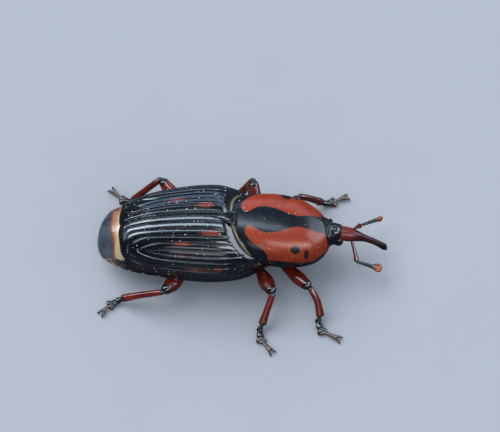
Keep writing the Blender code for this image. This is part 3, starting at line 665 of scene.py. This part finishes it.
def wingCaseGrid(side, flip, loops=141, arm=130, bend=64):
    s = wingCase
    r = np.concatenate([[0, 0, 0], np.linspace(0, 1, loops)])[:, None]
    rimDepth = np.concatenate([[0.4, 0.2, 0.06], np.zeros(loops)])[:, None]
    tip = between(s["tips"], r[:, 0])
    turn, half = 0.1 + 0.14 * r, 0.5 * (1 - r)
    # Each loop starts rolled down at the base, runs back, turns at the tip and returns
    run = np.concatenate([[-0.010, -0.012, -0.008], np.linspace(0, 1, arm, endpoint=False) ** 1.1])[None]
    angle = np.linspace(0, math.pi, bend)[None]
    # Square by the suture and round by the margin at the outer loops, pointed at the inner ones
    pointed = np.where(angle < math.pi / 2, 0.16 + 1.24 * np.minimum(r * 1.6, 1), 0.5 + 0.9 * r)
    straight = np.where(run < 0, run, (tip - turn) * run)
    bent = tip - turn + turn * signedPower(np.sin(angle), pointed)
    v = np.concatenate([straight, bent, straight[:, ::-1]], 1)
    ones = np.ones_like(straight)
    f = np.concatenate([(0.5 - half) * ones, 0.5 - half * signedPower(np.cos(angle), pointed),
                        (0.5 + half) * ones], 1)
    f = np.clip(f, 0.0, 1.0)
    rollDepth = np.zeros_like(run)
    rollDepth[0, :3] = (0.75, 0.4, 0.12)
    rollDepth = np.concatenate([rollDepth, 0 * angle, rollDepth[:, ::-1]], 1)
    phase = (r * s["grooves"] + 0.5) % 1.0
    fromGroove = np.minimum(phase, 1 - phase) * 2          # 0 in a groove, 1 on a crest
    fade = smooth(v, *s["grooveStart"]) * np.where(r < s["outerTwo"], 1 - smooth(v, *s["grooveEnd"]), 1)
    fade *= 1 - smooth(f, 0.5, 0.66) * (1 - smooth(v, 0.12, 0.34)) * 0.95         # smooth over the shoulder
    fade *= 1 - 0.45 * smooth(f, 0.72, 0.85)
    height = (s["crown"] * (1 - (1 - fromGroove) ** 2)
              - s["grooveDepth"] * np.exp(-(fromGroove / (2 * s["grooveWidth"])) ** 2)) * fade
    depth = rimDepth + rollDepth - height + s["frontDrop"] * np.clip(1 - v / s["frontSlope"], 0, 1) ** 2
    grid = wingCasePoint(v, f, depth, flip)
    spot = np.full(grid.shape[:2], -1.0)
    for x, across, length, width, strength in s["spots"][side] + s["spots"]["both"]:
        blot = 1 - np.hypot((grid[..., 0] - x) / length, (f - across) / width)
        spot = np.maximum(spot, np.where(blot > 0, blot * strength, blot))
    crest = np.broadcast_to(np.where(rimDepth > 0, 1, fromGroove), spot.shape)
    return grid, {"crest": crest, "run": grid[..., 0], "spot": spot}


def buildWingCase(side, flip):
    piece = sheet("wingCase" + side, *wingCaseGrid(side, flip), elytronFinish)
    normals = np.zeros(len(piece.data.vertices) * 3)
    piece.data.vertices.foreach_get("normal", normals)
    if normals.reshape(-1, 3)[:, 2].mean() < 0:
        piece.data.flip_normals()
    wall = piece.modifiers.new("wall", "SOLIDIFY")
    wall.thickness, wall.offset = wingCase["thickness"] * mm, -1
    mesh = bakedMesh(piece)
    piece.modifiers.clear()
    piece.data = mesh
    dress(piece, "black_chitin", "elytron_" + side.lower())


for side, flip in (("Left", 1), ("Right", -1)):
    buildWingCase(side, flip)
print("wing cases made")


# The small triangle between the wing cases

scutellum = {
    "outline": [(0.05, 0.66), (-0.4, 0.64), (-0.9, 0.47), (-1.4, 0.25), (-1.85, 0.03)],    # X, half width
    "lift": 0.03, "dome": 0.13, "depth": 0.3,
}


def buildScutellum():
    s = scutellum
    x = np.linspace(s["outline"][0][0], s["outline"][-1][0], 60)
    width = between([(-at, half) for at, half in s["outline"]], -x)[:, :1]
    top = between(wingCase["profile"], x)[:, 1:2] + s["lift"]
    angle = fullTurn(48)[None]
    y = width * signedPower(np.cos(angle), 0.85)
    dome = s["dome"] * np.clip(width / 0.4, 0.25, 1)
    z = top + np.where(np.sin(angle) > 0, dome * signedPower(np.sin(angle), 0.8), s["depth"] * np.sin(angle))
    grid = np.stack([np.broadcast_to(x[:, None], y.shape), y, z], -1)
    dress(skin("scutellumPlate", grid, {}, blackFinish), "black_chitin", "scutellum")


buildScutellum()


# The hind body below the wing cases

hindBody = {
    "roof": 0.62, "tailDrop": 0.9, "endDrop": 1.2, "thorax": (3.3, -5.75), "abdomen": (-5.5, -11.4),
    "plates": (-7.6, -8.7, -9.6, -10.3),      # the grooves between the plates of the underside
    "grooveDepth": 0.16,
    # Seams across the flank and the underside of the thorax, at these X
    "flankSeam": 0.9, "underSeams": (0.9, -3.5), "seamDepth": 0.05, "underDepth": 0.06,
    # Half width of the flank, its height, and the height of the belly
    "flank": [(-11.5, 1.9, 3.1, 2.4), (-11.0, 2.55, 3.05, 2.1), (-10.0, 3.25, 3.0, 1.8),
              (-8.0, 3.9, 2.9, 1.6), (-5.0, 4.35, 2.8, 1.5), (-2.0, 4.5, 2.7, 1.5), (1.0, 4.1, 2.8, 1.5),
              (3.2, 3.0, 3.0, 1.7)],
}


def hindBodyGrid(x, columns=200):
    s = hindBody
    width, top, margin = between(wingCase["profile"], x).T
    flank, level, belly = between(s["flank"], x).T
    nearest = np.min(np.abs(x[:, None] - np.array(s["plates"])[None]), axis=1)
    sunk = s["grooveDepth"] * np.exp(-(nearest / 0.07) ** 2)
    roof = s["roof"] + s["tailDrop"] * smooth(-x, 9.8, 11.2)
    margin = margin - s["endDrop"] * smooth(-x, 10.3, 11.5)
    corners = [(0 * x, belly + sunk), (0.35 * flank, belly + 0.06 + sunk), (0.7 * flank, belly + 0.4 + sunk),
               (flank - sunk, level), (flank - 0.05 - sunk, margin - 0.75), (flank - 0.2, margin - 0.2),
               (width - roof, margin - 0.1)]
    for angle in (math.pi / 2 * (1 - k / 7) for k in range(1, 8)):
        corners.append(((width - roof) * math.sin(angle) ** wingCase["sidePower"],
                        margin + (top - roof - margin) * math.cos(angle) ** wingCase["sidePower"]))
    half = np.stack([np.stack(corner, -1) for corner in corners], 1)
    keys = np.linspace(0, 1, half.shape[1])
    t = np.linspace(0, 1, columns // 2 + 1)
    rings = np.stack([between(np.column_stack([keys, ring]), t) for ring in half])
    return np.concatenate([rings, rings[:, -2:0:-1] * np.array([-1, 1])], 1)


def buildHindBody(node, rings, lean):
    s = hindBody
    x = np.linspace(*s[node], rings)
    ring = hindBodyGrid(x)
    top = between(wingCase["profile"], x)[:, 1:2]
    leaning = lean * np.clip((-8.0 - x) / 3.2, 0, 1)
    grid = np.stack([x[:, None] - leaning[:, None] * (top - ring[..., 1]), ring[..., 0], ring[..., 1]], -1)
    x, y, z = np.moveaxis(grid, -1, 0)
    values = {}
    if node == "thorax":
        # Sutures along the flank and across it, and across the underside and along its middle
        seam = bump(z, 3.55 + 0.05 * x, 0.07) + bump(x, s["flankSeam"], 0.09)
        under = sum(bump(x, at, 0.09) for at in s["underSeams"]) + bump(y, 0, 0.1)
        grid[..., 1] = y - np.sign(y) * s["seamDepth"] * seam * (z < 4.2)
        grid[..., 2] = z + s["underDepth"] * np.minimum(under, 1) * (1 - smooth(z, 2.0, 2.6))
    else:
        # Flesh-coloured last rings, and a pale line along their widest level, where it forms the outline:
        # partly the pale fringe of the tail plate's edge and partly a painted highlight
        values["pale"] = 0.6 * smooth(-x, 10.7, 11.2) * bump(z, 3.5, 0.7)
        values["rim"] = smooth(-x, 10.6, 11.1) * bump(z, 3.2, 0.09) * 0.7
    dress(skin(node + "Plates", grid, values, abdomenFinish if values else blackFinish), "black_chitin", node)


buildHindBody("thorax", 150, 0.0)
buildHindBody("abdomen", 170, 0.42)


# Tail plate

tailPlate = {
    "path": [(-10.0, 0.1, 6.0), (-10.9, 0.02, 5.6), (-12.0, -0.3, 4.85), (-12.95, -0.6, 3.5),
             (-13.5, -0.75, 1.9)],
    "sizes": [(0, 2.7, 0.4), (0.16, 2.9, 0.5), (0.35, 2.7, 0.55), (0.55, 2.15, 0.6), (0.7, 1.75, 0.56),
              (0.88, 1.3, 0.5), (1, 1.05, 0.42)],
    "arch": 0.13,                         # how far the sides droop, per square of the distance out
    # Where the colours end, measured back from X 0 at the midline, with the rise per mm outward
    "orangeEnd": -12.36, "orangeBend": (-0.08, 0.035), "creamEnd": -11.74, "creamBend": (0.12, 0.02),
}


def buildTailPlate():
    s = tailPlate
    grid, values = limbGrid(s["path"], s["sizes"], (0.15, 0.6), 130, 170, squareness=2.2)
    along, upper, y = values["along"], values["around"], grid[..., 1]
    grid[..., 2] -= s["arch"] * y**2 * (1 - smooth(along, 0.5, 0.9))
    for key in ("orange", "cream"):
        tilt, curl = s[key + "Bend"]
        values[key] = grid[..., 0] - (s[key + "End"] + tilt * y + curl * y**2)
    # A pale rim along the sides and round the end, partly the pale hair fringe there and partly a painted
    # highlight along the edge, and flesh-coloured corners where the last ring begins
    end = smooth(along, 0.9, 0.95) * smooth(upper, -0.5, 0.0)
    values["rim"] = np.maximum(smooth(along, 0.3, 0.45) * bump(upper, 0.15, 0.25), end)
    values["flesh"] = smooth(np.abs(y), 1.95, 2.3) * (1 - smooth(values["cream"], -0.25, 0.0))
    values["hairy"] = smooth(along, 0.3, 0.45) * bump(upper, 0.05, 0.2) + 0.4 * end
    piece = skin("tailPlate", grid, values, tailFinish)
    growBristles("tailHairs", piece, paleHair, 260, 0.3, 0.011, lean=(-0.7, 0, -0.3), spread=0.35)
    dress(piece, "orange_chitin", "pygidium")


buildTailPlate()
print("hind body made")


# Head, eyes and snout

head = {
    "centre": (9.85, -0.05, 4.85), "radii": (0.92, 0.96, 1.12),
    "eye": (10.35, 0.76, 4.25), "eyeRadii": (0.45, 0.34, 0.68),
    "snout": [(10.0, -0.03, 4.87), (10.35, -0.05, 4.8), (11.5, -0.17, 4.6), (12.3, -0.24, 4.3),
              (13.3, -0.29, 3.7), (14.2, -0.35, 2.95), (15.25, -0.5, 1.95)],
    "snoutSizes": [(0, 0.74, 0.74), (0.08, 0.73, 0.72), (0.24, 0.7, 0.68), (0.38, 0.52, 0.52),
                   (0.49, 0.38, 0.38), (0.72, 0.31, 0.32), (0.93, 0.34, 0.32), (1, 0.36, 0.3)],
    "keel": 0.035, "scrobe": 0.07,        # the low ridge on top, and the groove for the feeler on each side
    # Each jaw curves out from the middle: X, Y, how far out, Z
    "jaw": [(15.15, -0.5, 0.1, 2.0), (15.3, -0.51, 0.14, 1.88), (15.4, -0.52, 0.05, 1.82)],
    "jawSizes": [(0, 0.13, 0.13), (0.6, 0.1, 0.1), (1, 0.05, 0.05)],
}


def buildHead():
    s = head
    globe = skin("headGlobe", ballGrid(s["centre"], s["radii"], 70, 96), {}, blackFinish)
    dress(globe, "black_chitin", "head")
    for side, flip in (("left", 1), ("right", -1)):
        centre = (s["eye"][0], s["centre"][1] + s["eye"][1] * flip, s["eye"][2])
        eye = skin("eye" + side.title(), ballGrid(centre, s["eyeRadii"]), {}, eyeFinish)
        dress(eye, "eye_black", "eye_" + side)
    grid, values = limbGrid(s["snout"], s["snoutSizes"], (0.1, 0.25), 150, 72)
    along, upper = values["along"], values["around"]
    outward = grid - grid.mean(1, keepdims=True)
    size = np.linalg.norm(outward, axis=-1)[..., None]
    keel = s["keel"] * smooth(upper, 0.9, 1.0) * smooth(along, 0.15, 0.35) * (1 - smooth(along, 0.5, 0.7))
    scrobe = s["scrobe"] * bump(upper, 0.05, 0.22) * bump(along, 0.33, 0.1)
    grid += outward / np.maximum(size, 1e-6) * (keel - scrobe)[..., None]
    # Brightest on the upper half of its base and darker towards the tip, its own colour; darker also round
    # the sides and underneath, a painted shade
    values["maroon"] = np.maximum(smooth(along, 0.12, 0.42), 0.9 * smooth(np.abs(upper - 0.7), 0.2, 0.75))
    values["dark"] = smooth(along, 0.64, 0.97)
    pieces = [skin("snout", grid, values, snoutFinish)]
    for turn in (-1, 1):
        path = [(x, y + out * turn, z) for x, y, out, z in s["jaw"]]
        jaw = plainLimb("jaw", path, s["jawSizes"], (0.04, 0.06), 10, 16, snoutFinish, dark=1, maroon=1)
        pieces.append(jaw)
    dress(joinPieces("snout", pieces), "dark_red_chitin", "rostrum")


buildHead()


# Feelers

feelers = {
    "right": {"socket": (11.7, -0.85, 4.25), "elbow": (12.2, -2.5, 3.1), "end": (13.68, -2.78, 2.62),
              "tip": (14.75, -2.98, 2.4), "wide": 0.46, "thick": 0.27},
    "left": {"socket": (11.75, 0.4, 4.3), "elbow": (12.65, 1.5, 2.95), "end": (14.2, 2.25, 2.5),
             "tip": (15.0, 2.58, 2.35), "wide": 0.25, "thick": 0.45},      # its flat side faces sideways
    "beads": 6, "firstBead": 0.165, "lastBead": 0.21,
    "scape": [(0, 0.15, 0.15), (0.3, 0.16, 0.16), (0.7, 0.19, 0.19), (0.93, 0.27, 0.27), (1, 0.25, 0.25)],
    "club": [(0, 0.42), (0.2, 0.62), (0.5, 0.92), (0.75, 1.0), (1, 0.95)],    # share of its full width
}


def buildFeeler(side):
    s, title = feelers[side], side.title()
    socket, elbow, end, tip = (np.array(s[key]) for key in ("socket", "elbow", "end", "tip"))
    inner = socket + (np.array(head["snout"][2]) - socket) * 0.45
    bend = (socket + elbow) / 2 + (0, 0, 0.1)
    grid, values = limbGrid([inner, socket, bend, elbow], feelers["scape"], (0.1, 0.22), 60, 32)
    values["dark"] = 0.25 + 0.4 * smooth(values["along"], 0.8, 1.0) + 0.3 * bump(values["along"], 0.4, 0.15)
    scape = skin("scape" + title, grid, values, limbFinish)
    start = elbow + (end - elbow) * 0.06
    beads = grow("funicle" + title, scape, beadTree, {
        "Start": (start * mm + bodyOrigin).tolist(), "End": (end * mm + bodyOrigin).tolist(),
        "Beads": feelers["beads"], "First": feelers["firstBead"] * mm, "Last": feelers["lastBead"] * mm,
        "Finish": blackFinish})
    dress(scape, "dark_red_chitin", "scape_" + side)
    dress(beads, "dark_red_chitin", "funicle_" + side)
    sizes = [(t, share * s["wide"], share * s["thick"]) for t, share in feelers["club"]]
    grid, values = limbGrid([end, tip], sizes, (0.1, 0.42), 50, 48)
    values["dark"] = 1 - smooth(values["along"], 0.1, 0.45)
    values["hairy"] = smooth(values["along"], 0.5, 0.65)
    club = skin("club" + title, grid, values, clubFinish)
    growBristles("clubPile" + title, club, rustHair, 500, 0.05, 0.006, lean=(tip - end) * 0.5)
    dress(club, "club_pile", "club_" + side)


for side in ("right", "left"):
    buildFeeler(side)
print("head and feelers made")


# Legs

legs = {
    # Coxa, root and knee, then X and Y of ankle, heel, pad and claw
    "rightFront": {"upper": [(4.3, -1.45, 1.75), (4.65, -2.1, 1.75), (7.45, -5.25, 3.05)],
                   "foot": [(8.55, -7.55), (8.25, -7.95), (8.75, -8.95), (10.25, -9.62)],
                   "girth": 1.0, "bow": 0.0, "shinBow": (0.2, 0.1, 0.1)},
    "rightMiddle": {"upper": [(1.75, -1.65, 1.75), (2.2, -2.35, 1.7), (3.78, -5.95, 3.35)],
                    "foot": [(2.7, -8.4), (2.4, -8.85), (2.62, -9.85), (3.55, -10.9)],
                    "girth": 1.12, "bow": 0.0},
    "rightHind": {"upper": [(-4.5, -2.3, 1.8), (-4.95, -3.0, 1.6), (-7.1, -5.8, 3.35)],
                  "foot": [(-11.35, -5.6), (-11.85, -5.7), (-12.65, -6.1), (-13.35, -6.85)],
                  "girth": 1.15, "bow": 0.05},
    "leftFront": {"upper": [(4.3, 1.45, 1.75), (4.65, 2.1, 1.75), (6.5, 4.6, 3.3)],
                  "foot": [(8.9, 4.95), (9.25, 5.0), (10.2, 5.25), (11.4, 5.75)],
                  "girth": 1.0, "bow": 0.0},
    "leftMiddle": {"upper": [(1.75, 1.65, 1.75), (2.1, 2.4, 1.7), (1.85, 6.0, 4.2)],
                   "foot": [(0.6, 6.0), (0.15, 6.0), (-0.85, 6.1), (-2.0, 6.45)],
                   "girth": 1.0, "bow": 0.0},
    "leftHind": {"upper": [(-4.5, 2.3, 1.8), (-4.95, 3.0, 1.6), (-7.55, 6.2, 4.0)],
                 "foot": [(-10.55, 5.2), (-10.95, 5.2), (-11.8, 5.5), (-12.8, 6.5)],
                 "girth": 1.1, "bow": 0.35},
}
legSizes = {
    "footHeights": (0.95, 0.45, 0.23, 0.42),       # of ankle, heel, pad and claw on every leg
    "coxaRadii": (0.85, 0.85, 0.8), "shinBow": (0, 0, 0.12), "widestThigh": 0.6,
    "thigh": [(0, 0.36, 0.38), (0.1, 0.42, 0.44), (0.25, 0.52, 0.55), (0.6, 0.68, 0.7), (0.85, 0.55, 0.58),
              (0.95, 0.47, 0.5), (1, 0.46, 0.48)],
    "collar": [(0, 0.36, 0.36), (1, 0.42, 0.43)],
    "shank": [(0, 0.24, 0.28), (0.06, 0.27, 0.31), (0.2, 0.31, 0.36), (0.6, 0.33, 0.37), (0.9, 0.39, 0.43),
              (1, 0.39, 0.42)],
    "hook": [(0, 0.16, 0.16), (0.6, 0.13, 0.13), (1, 0.05, 0.05)],
    "first": [(0, 0.17, 0.17), (0.7, 0.31, 0.29), (1, 0.33, 0.3)],
    "second": [(0, 0.18, 0.18), (0.75, 0.36, 0.32), (1, 0.36, 0.3)],
    "lobe": [(0, 0.2, 0.2), (0.5, 0.3, 0.27), (0.85, 0.33, 0.24), (1, 0.3, 0.2)],
    "last": [(0, 0.13, 0.13), (0.5, 0.17, 0.17), (0.85, 0.24, 0.24), (1, 0.26, 0.25)],
    "claw": [(0, 0.14, 0.14), (0.5, 0.11, 0.11), (0.85, 0.06, 0.06), (1, 0.025, 0.025)],
    # How dark each joint of the foot is, and how much pale yellowish sheen is painted on it as a highlight
    "footTones": {"first": (0.9, 0.0), "second": (0.9, 0.0), "lobe": (0.75, 0.3), "last": (0.6, 0.65),
                  "claw": (0.85, 0.3)},
}


def buildLeg(name):
    s = legs[name]
    node = name.replace("Front", "_front").replace("Middle", "_middle").replace("Hind", "_hind")
    coxaAt, root, knee = (np.array(place) for place in s["upper"])
    foot = [np.array((*place, height)) for place, height in zip(s["foot"], legSizes["footHeights"])]
    ankle = foot[0]
    coxa = skin(name + "Coxa", ballGrid(coxaAt, legSizes["coxaRadii"]), {}, blackFinish)
    dress(coxa, "black_chitin", "coxa_" + node)

    # Thigh: starts inside the coxa, with the small trochanter as a collar
    middle = root + (knee - root) * 0.6 + (0, 0, s["bow"])
    sizes = [(t, *(np.array(size) * (s["girth"] if t == legSizes["widestThigh"] else 1)))
             for t, *size in legSizes["thigh"]]
    thigh, values = limbGrid([root, middle, knee], sizes, (0.35, 0.45), 80, 56)
    along, upper = values["along"], values["around"]
    thigh[..., 2] += 0.12 * bump(along, 0.93, 0.06) * smooth(-upper, 0.3, 0.9)      # notch under the knee
    values["dark"] = smooth(along, 0.8, 0.93) + 0.8 * (1 - smooth(along, 0.03, 0.14))
    values["hairy"] = smooth(-upper, 0.2, 0.7) * smooth(along, 0.35, 0.5)
    femur = skin(name + "Thigh", thigh, values, limbFinish)
    path = [root - unit(root - coxaAt) * 0.25, root + unit(middle - root) * 0.3]
    collar = plainLimb("trochanter", path, legSizes["collar"], (0.15, 0.2), 16, 40, limbFinish, dark=0.9)
    growBristles(name + "ThighHairs", femur, paleHair, 14, 0.3, 0.007, lean=unit(knee - root) * 0.8)
    if "Middle" in name:
        growBristles(name + "Tuft", femur, strawHair, 34, 0.8, 0.012, lean=(-1.7, 0, 0.3), spread=0.5)
    dress(joinPieces(name + "Thigh", [femur, collar]), "dark_red_chitin", "femur_" + node)

    # Shin: from inside the knee to the ankle, ridged, with a hook at its end
    ahead = unit(ankle - knee)
    bend = knee + (ankle - knee) * 0.5 + s.get("shinBow", legSizes["shinBow"])
    shin, values = limbGrid([knee - ahead * 0.12, bend, ankle], legSizes["shank"], (0.3, 0.2), 110, 64)
    along, upper = values["along"], values["around"]
    axis = shin.mean(1, keepdims=True)
    ridges = 0.05 * np.cos(4 * fullTurn(64)[None] + 0.5) * smooth(along, 0.1, 0.3)
    shin = axis + (shin - axis) * (1 + ridges)[..., None]
    values["dark"] = smooth(along, 0.84, 0.98) + 1 - smooth(along, 0.0, 0.14)
    values["hairy"] = smooth(-upper, 0.5, 0.9) * smooth(along, 0.25, 0.4)
    tibia = skin(name + "Shin", shin, values, limbFinish)
    inward = unit(coxaAt - ankle)
    path = [ankle - ahead * 0.35 + inward * 0.15, ankle + inward * 0.45 - ahead * 0.05,
            ankle + inward * 0.7 + ahead * 0.25]
    hook = plainLimb("hook", path, legSizes["hook"], (0.05, 0.14), 24, 24, limbFinish, dark=1)
    growBristles(name + "ShinFringe", tibia, goldHair, 70, 0.26, 0.007, lean=ahead * 0.5, spread=0.2)
    dress(joinPieces(name + "Shin", [tibia, hook]), "dark_red_chitin", "tibia_" + node)
    buildFoot(name, node, *foot)


def buildFoot(name, node, ankle, heel, pad, claw):
    # Two small joints, a broad two-lobed one, then the claw joint and its claws
    pieces = []

    def joint(part, path, caps=(0.1, 0.12), rings=26, sides=36):
        grid, marks = limbGrid(path, legSizes[part], caps, rings, sides, floor=0.0)
        for key, tone in zip(("dark", "paintedSheen"), legSizes["footTones"][part]):
            marks[key] = np.full_like(marks["along"], tone)
        marks["hairy"] = smooth(-marks["around"], 0.1, 0.8) * (1 if part == "lobe" else 0.25)
        pieces.append(skin(part, grid, marks, limbFinish))

    middle = (heel + pad) / 2
    forward, onward = unit(claw - pad), unit(pad - middle)
    across, wide = (unit(np.cross(heading, (0, 0, 1))) for heading in (forward, onward))
    joint("first", [ankle, ankle + (heel - ankle) * 0.6, heel + (pad - heel) * 0.1])
    joint("second", [heel, middle + onward * 0.12])
    for turn in (-1, 1):
        end = pad + onward * 0.22 + wide * turn * 0.27
        end[2] = pad[2]
        joint("lobe", [middle + onward * 0.05, (middle + end) / 2 + (0, 0, 0.03), end])
    joint("last", [pad + (0, 0, 0.1), pad + (claw - pad) * 0.3 + (0, 0, 0.08), claw])
    for turn in (-1, 1):
        base = claw - forward * 0.2 + across * turn * 0.1
        knuckle = claw + forward * 0.22 + across * turn * 0.24
        tip = claw + forward * 0.42 + across * turn * 0.36
        knuckle[2], tip[2] = 0.34, 0.06
        joint("claw", [base, knuckle, tip], (0.04, 0.08), 24, 20)
    foot = joinPieces(name + "Foot", pieces)
    growBristles(name + "FootPad", foot, goldHair, 420, 0.13, 0.007, lean=onward * 0.7 + (0, 0, 0.2))
    dress(foot, "black_chitin", "tarsus_" + node)


for name in legs:
    buildLeg(name)
print("legs made")


# Floor, light and camera

stage = {
    "target": (1.5, 1.68, 5.0), "elevation": 67.0, "distance": 150.0, "lens": 108.0,
    "floorSize": 8.0, "floorColour": (0.56, 0.61, 0.70), "floorReflected": (0.10, 0.12, 0.15),
    # The studio's light on dull surfaces, as the camera sees it, and in reflections
    "around": (0.47, 0.51, 0.55), "backdrop": (0.49, 0.555, 0.66), "reflected": (0.02, 0.032, 0.052),
    "sunFrom": (-60, 50, 110), "sunColour": (1.0, 0.98, 0.95), "sunPower": 1.5, "sunAngle": 50.0,
    # Panels that only show as gloss: name, place in millimetres, length along X, width, power, colour
    "panels": [("sky", (-80, 38, 190), 460, 48, 0.66, (0.66, 0.84, 1.0)),
               ("front", (195, 50, 82), 130, 180, 0.38, (0.72, 0.85, 1.0)),
               ("horizon", (0, 210, 105), 420, 120, 0.32, (0.45, 0.66, 1.0)),
               ("fill", (98, -103, 136), 170, 56, 0.22, (0.90, 0.95, 1.0)),
               ("rear", (-165, 45, 106), 100, 40, 0.09, (0.84, 0.92, 1.0)),
               ("low", (-25, -180, 92), 110, 80, 0.06, (0.92, 0.95, 1.0))],
}
target = Vector(np.array(stage["target"]) * mm + bodyOrigin)


def buildFloor():
    half = stage["floorSize"] / 2
    mesh = bpy.data.meshes.new("floor")
    corners = [(-half, -half, 0), (half, -half, 0), (half, half, 0), (-half, half, 0)]
    mesh.from_pydata(corners, [], [(0, 1, 2, 3)])
    material, tree, shader, place = newMaterial("floorFinish")
    tones = placeGroup(tree, mottle, Vector=place, Scale=60.0)
    rays = addNode(tree, "ShaderNodeLightPath").outputs
    pale = stage["floorColour"]
    colour = mixColour(tree, tones["Tone"], pale, tuple(c * 0.97 for c in pale))
    colour = mixColour(tree, rays["Is Camera Ray"], stage["floorReflected"], colour)
    tree.links.new(colour, shader["Base Color"])
    shader["Roughness"].default_value = 0.9
    shader["Specular IOR Level"].default_value = 0.0
    mesh.materials.append(material)
    addObject("floor", mesh)


def addLamp(name, kind, place, colour, energy):
    light = bpy.data.lights.new(name, kind)
    light.energy, light.color = energy, colour
    lamp = addObject(name, light)
    lamp.location = target + Vector(place) * mm
    # The long side of a panel lies along X
    shine = Vector(place).normalized()
    length = (Vector((1, 0, 0)) - shine * shine.x).normalized()
    lamp.rotation_euler = Matrix((length, shine.cross(length), shine)).transposed().to_euler()
    return lamp


def buildLight():
    s = stage
    bpy.context.scene.view_settings.view_transform = "Standard"
    world = bpy.data.worlds.new("studio")
    world.use_nodes = True
    tree = world.node_tree
    rays = addNode(tree, "ShaderNodeLightPath").outputs
    colour = mixColour(tree, rays["Is Camera Ray"], s["around"], s["backdrop"])
    colour = mixColour(tree, rays["Is Glossy Ray"], colour, s["reflected"])
    background = tree.nodes["Background"].inputs
    tree.links.new(colour, background["Color"])
    background["Strength"].default_value = 1.0
    bpy.context.scene.world = world
    sun = addLamp("sun", "SUN", s["sunFrom"], s["sunColour"], s["sunPower"])
    sun.data.angle = math.radians(s["sunAngle"])
    sun.visible_glossy = False
    for name, place, length, width, power, colour in s["panels"]:
        panel = addLamp(name, "AREA", place, colour, power)
        panel.data.shape, panel.data.size, panel.data.size_y = "RECTANGLE", length * mm, width * mm
        panel.visible_diffuse = False


def buildCamera():
    camera = bpy.data.cameras.new("camera")
    camera.lens, camera.sensor_width, camera.clip_start = stage["lens"], 36.0, 0.005
    seen = addObject("camera", camera)
    tilt = math.radians(stage["elevation"])
    seen.location = target + Vector((0, -math.cos(tilt), math.sin(tilt))) * stage["distance"] * mm
    seen.rotation_euler = (target - seen.location).to_track_quat("-Z", "Y").to_euler()
    bpy.context.scene.camera = seen


buildFloor()
buildLight()
buildCamera()
print("stage set")
